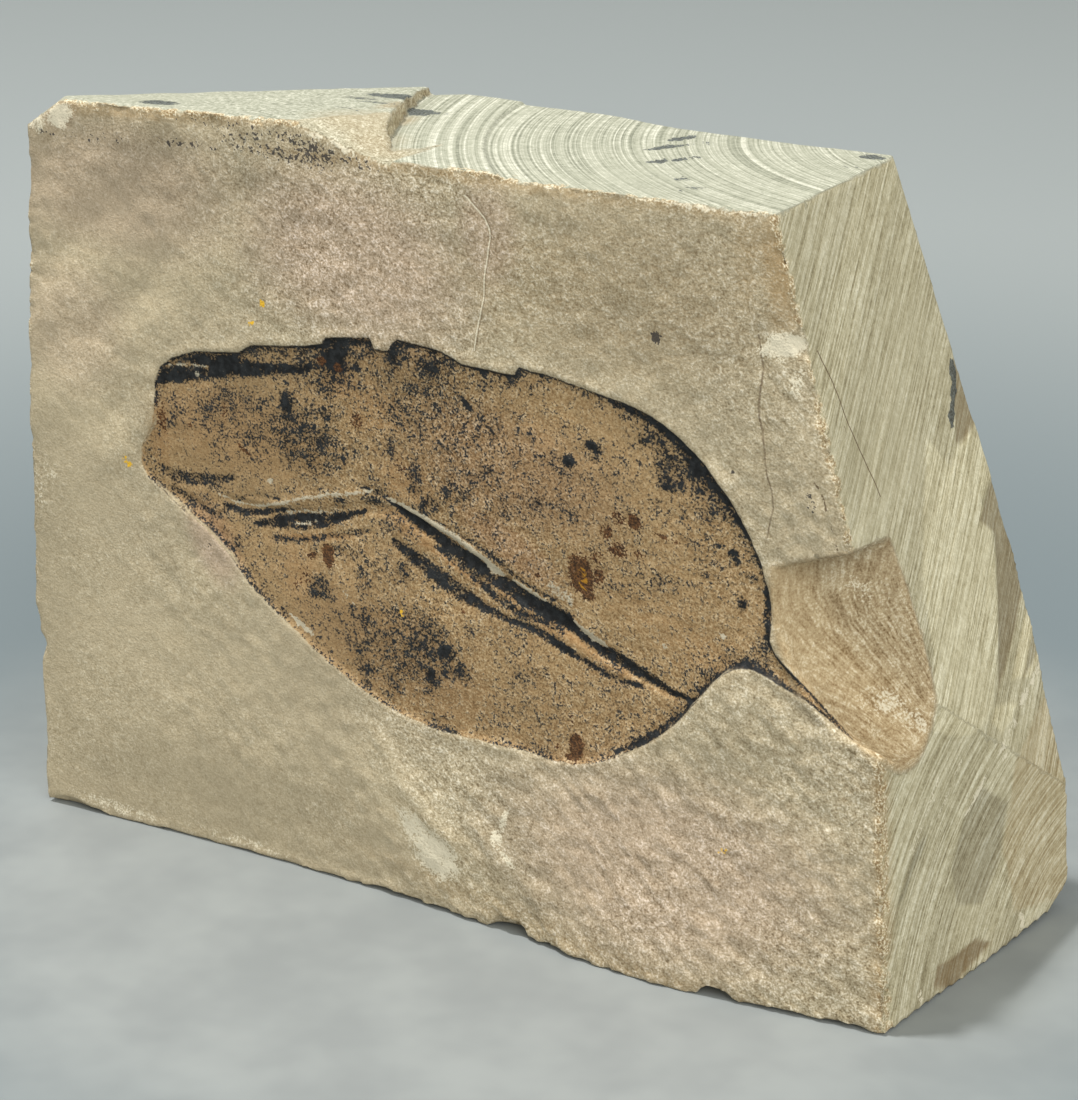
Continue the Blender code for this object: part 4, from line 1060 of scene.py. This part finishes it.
    # Black smears on the top and the right end's lens, with one patch of painted shadow on the top
    smear = (stroke * 0.4 + cloud * 0.4 + attribute("smear") * 1.3 - 0.9).step(-0.05, 0.2)
    colour = blend(smear * 0.88, colour, ramp_colour(speckle, (0.2, (40, 42, 42)), (0.9, (92, 98, 96))))
    worn = (cloud * 0.6 + speckle * 0.25 + attribute("wear") - 1.15).step(-0.05, 0.3)
    chipped = ramp_colour(speckle, (0.15, (126, 98, 62)), (0.6, (186, 164, 124)), (0.9, (228, 216, 188)))
    colour = blend(worn * 0.75, colour, chipped)

    tool_depth = right * 0.015 + top * 0.015 + 0.04
    height = fine * 0.06 + medium * (attribute("crumbly") * 0.16 + 0.03) + strokes * tool_depth
    bump = Shade.node("ShaderNodeBump", {}, {"Strength": 1.0, "Distance": MM, "Height": height})
    roughness = 0.88 - film * 0.15
    for name, value in (("Base Color", colour), ("Roughness", roughness), ("Normal", bump)):
        Shade.tree.links.new(value.socket, surface.inputs[name])
    surface.inputs["Specular IOR Level"].default_value = 0.3
    return material


plate.data.materials.clear()
plate.data.materials.append(siltstone())
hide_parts("fossil_slab")
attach(plate, "root")


# The stage: a plain painted table, a little darker away from the plate as painted shade, whose sheet
# bends up far behind it into a pale backdrop. Its sizes are in metres.
TABLE_REACH = 1.4
TABLE_BEND = 0.5
BEND_STEPS = 16
TABLE_HALF_WIDTH = 2.5
BACKDROP_TOP = 2.2


def table_and_backdrop():
    """One sheet: flat under the plate, bent up behind it."""
    bm = bmesh.new()
    rows = []
    for step in range(BEND_STEPS + 1):
        turn = math.pi / 2.0 * step / BEND_STEPS
        rows.append((TABLE_REACH + TABLE_BEND * math.sin(turn), TABLE_BEND * (1.0 - math.cos(turn))))
    profile = [(-TABLE_REACH, 0.0)] + rows + [(TABLE_REACH + TABLE_BEND, BACKDROP_TOP)]
    for side in (-TABLE_HALF_WIDTH, TABLE_HALF_WIDTH):
        for reach, height in profile:
            bm.verts.new((side, reach, height))
    bm.verts.ensure_lookup_table()
    count = len(profile)
    for index in range(count - 1):
        corners = (index, count + index, count + index + 1, index + 1)
        bm.faces.new([bm.verts[corner] for corner in corners])
    mesh = bpy.data.meshes.new("table")
    bm.to_mesh(mesh)
    bm.free()
    made = bpy.data.objects.new("table", mesh)
    bpy.context.scene.collection.objects.link(made)
    for polygon in mesh.polygons:
        polygon.use_smooth = True
    return made


def table_paint():
    """Pale grey paint, faintly cloudy, darker from the plate outwards as painted shade, and pale again far
    away.
    """
    material = bpy.data.materials.new("pale_table")
    material.use_nodes = True
    Shade.tree = material.node_tree
    surface = Shade.tree.nodes["Principled BSDF"]
    place = Shade.node("ShaderNodeTexCoord", {}, {}, 3)
    reach = Shade.node("ShaderNodeVectorMath", {"operation": "LENGTH"}, {0: place}, 1)
    cloud = grain(place, 0.02, 3.0, 0.65).step(0.3, 0.7)
    near = blend(cloud, tint(130, 134, 133), tint(142, 146, 144))
    # Painted shade: darker in a ring around the plate
    colour = blend(reach.step(0.06, 0.11), near, tint(108, 118, 121))
    # Paler again far off
    colour = blend(reach.step(0.1, 0.36), colour, tint(149, 154, 153))
    Shade.tree.links.new(colour.socket, surface.inputs["Base Color"])
    surface.inputs["Roughness"].default_value = 0.6
    return material


table = table_and_backdrop()
table.data.materials.append(table_paint())


# The light: a small lamp high above to the left that draws the shadows, a broad soft one from the
# right front, and an even pale room around them. Places and sizes are in metres.
PLATE_MIDDLE = (0.0, 0.0, 0.05)
ROOM_COLOUR = (0.94, 0.96, 0.93, 1.0)
ROOM_STRENGTH = 0.78


def area_light(name, place, target, size, power):
    """A square lamp that faces a target."""
    lamp = bpy.data.lights.new(name, "AREA")
    lamp.size = size
    lamp.energy = power
    made = bpy.data.objects.new(name, lamp)
    bpy.context.scene.collection.objects.link(made)
    made.location = place
    made.rotation_euler = (Vector(target) - Vector(place)).to_track_quat("-Z", "Y").to_euler()


area_light("high_lamp", (-0.29, -0.16, 1.25), PLATE_MIDDLE, 0.09, 15.0)
area_light("right_fill", (0.95, -0.75, 0.75), PLATE_MIDDLE, 0.9, 11.0)
world = bpy.data.worlds.new("pale_room")
world.use_nodes = True
world.node_tree.nodes["Background"].inputs["Color"].default_value = ROOM_COLOUR
world.node_tree.nodes["Background"].inputs["Strength"].default_value = ROOM_STRENGTH
bpy.context.scene.world = world
bpy.context.scene.view_settings.view_transform = "Standard"


# The camera: above the plate and to its right, looking down on it by 20 degrees through a long
# lens. Its place is in millimetres from the front corner, and the lens is a focal length.
CAMERA_PLACE = (238.18, -275.08, 165.66)
CAMERA_RIGHT = (0.8595, 0.5112, 0.0)
CAMERA_UP = (-0.1748, 0.294, 0.9397)
CAMERA_LENS = 98.18

lens = bpy.data.cameras.new("camera")
lens.lens = CAMERA_LENS
lens.sensor_width = 36.0
lens.clip_start = 0.01
camera = bpy.data.objects.new("camera", lens)
bpy.context.scene.collection.objects.link(camera)
backward = Vector(CAMERA_RIGHT).cross(Vector(CAMERA_UP))
turned = Matrix((CAMERA_RIGHT, CAMERA_UP, backward)).transposed().to_4x4()
camera.matrix_world = Matrix.Translation(Vector(np.array(CAMERA_PLACE) + FRONT_CORNER) * MM) @ turned
bpy.context.scene.camera = camera
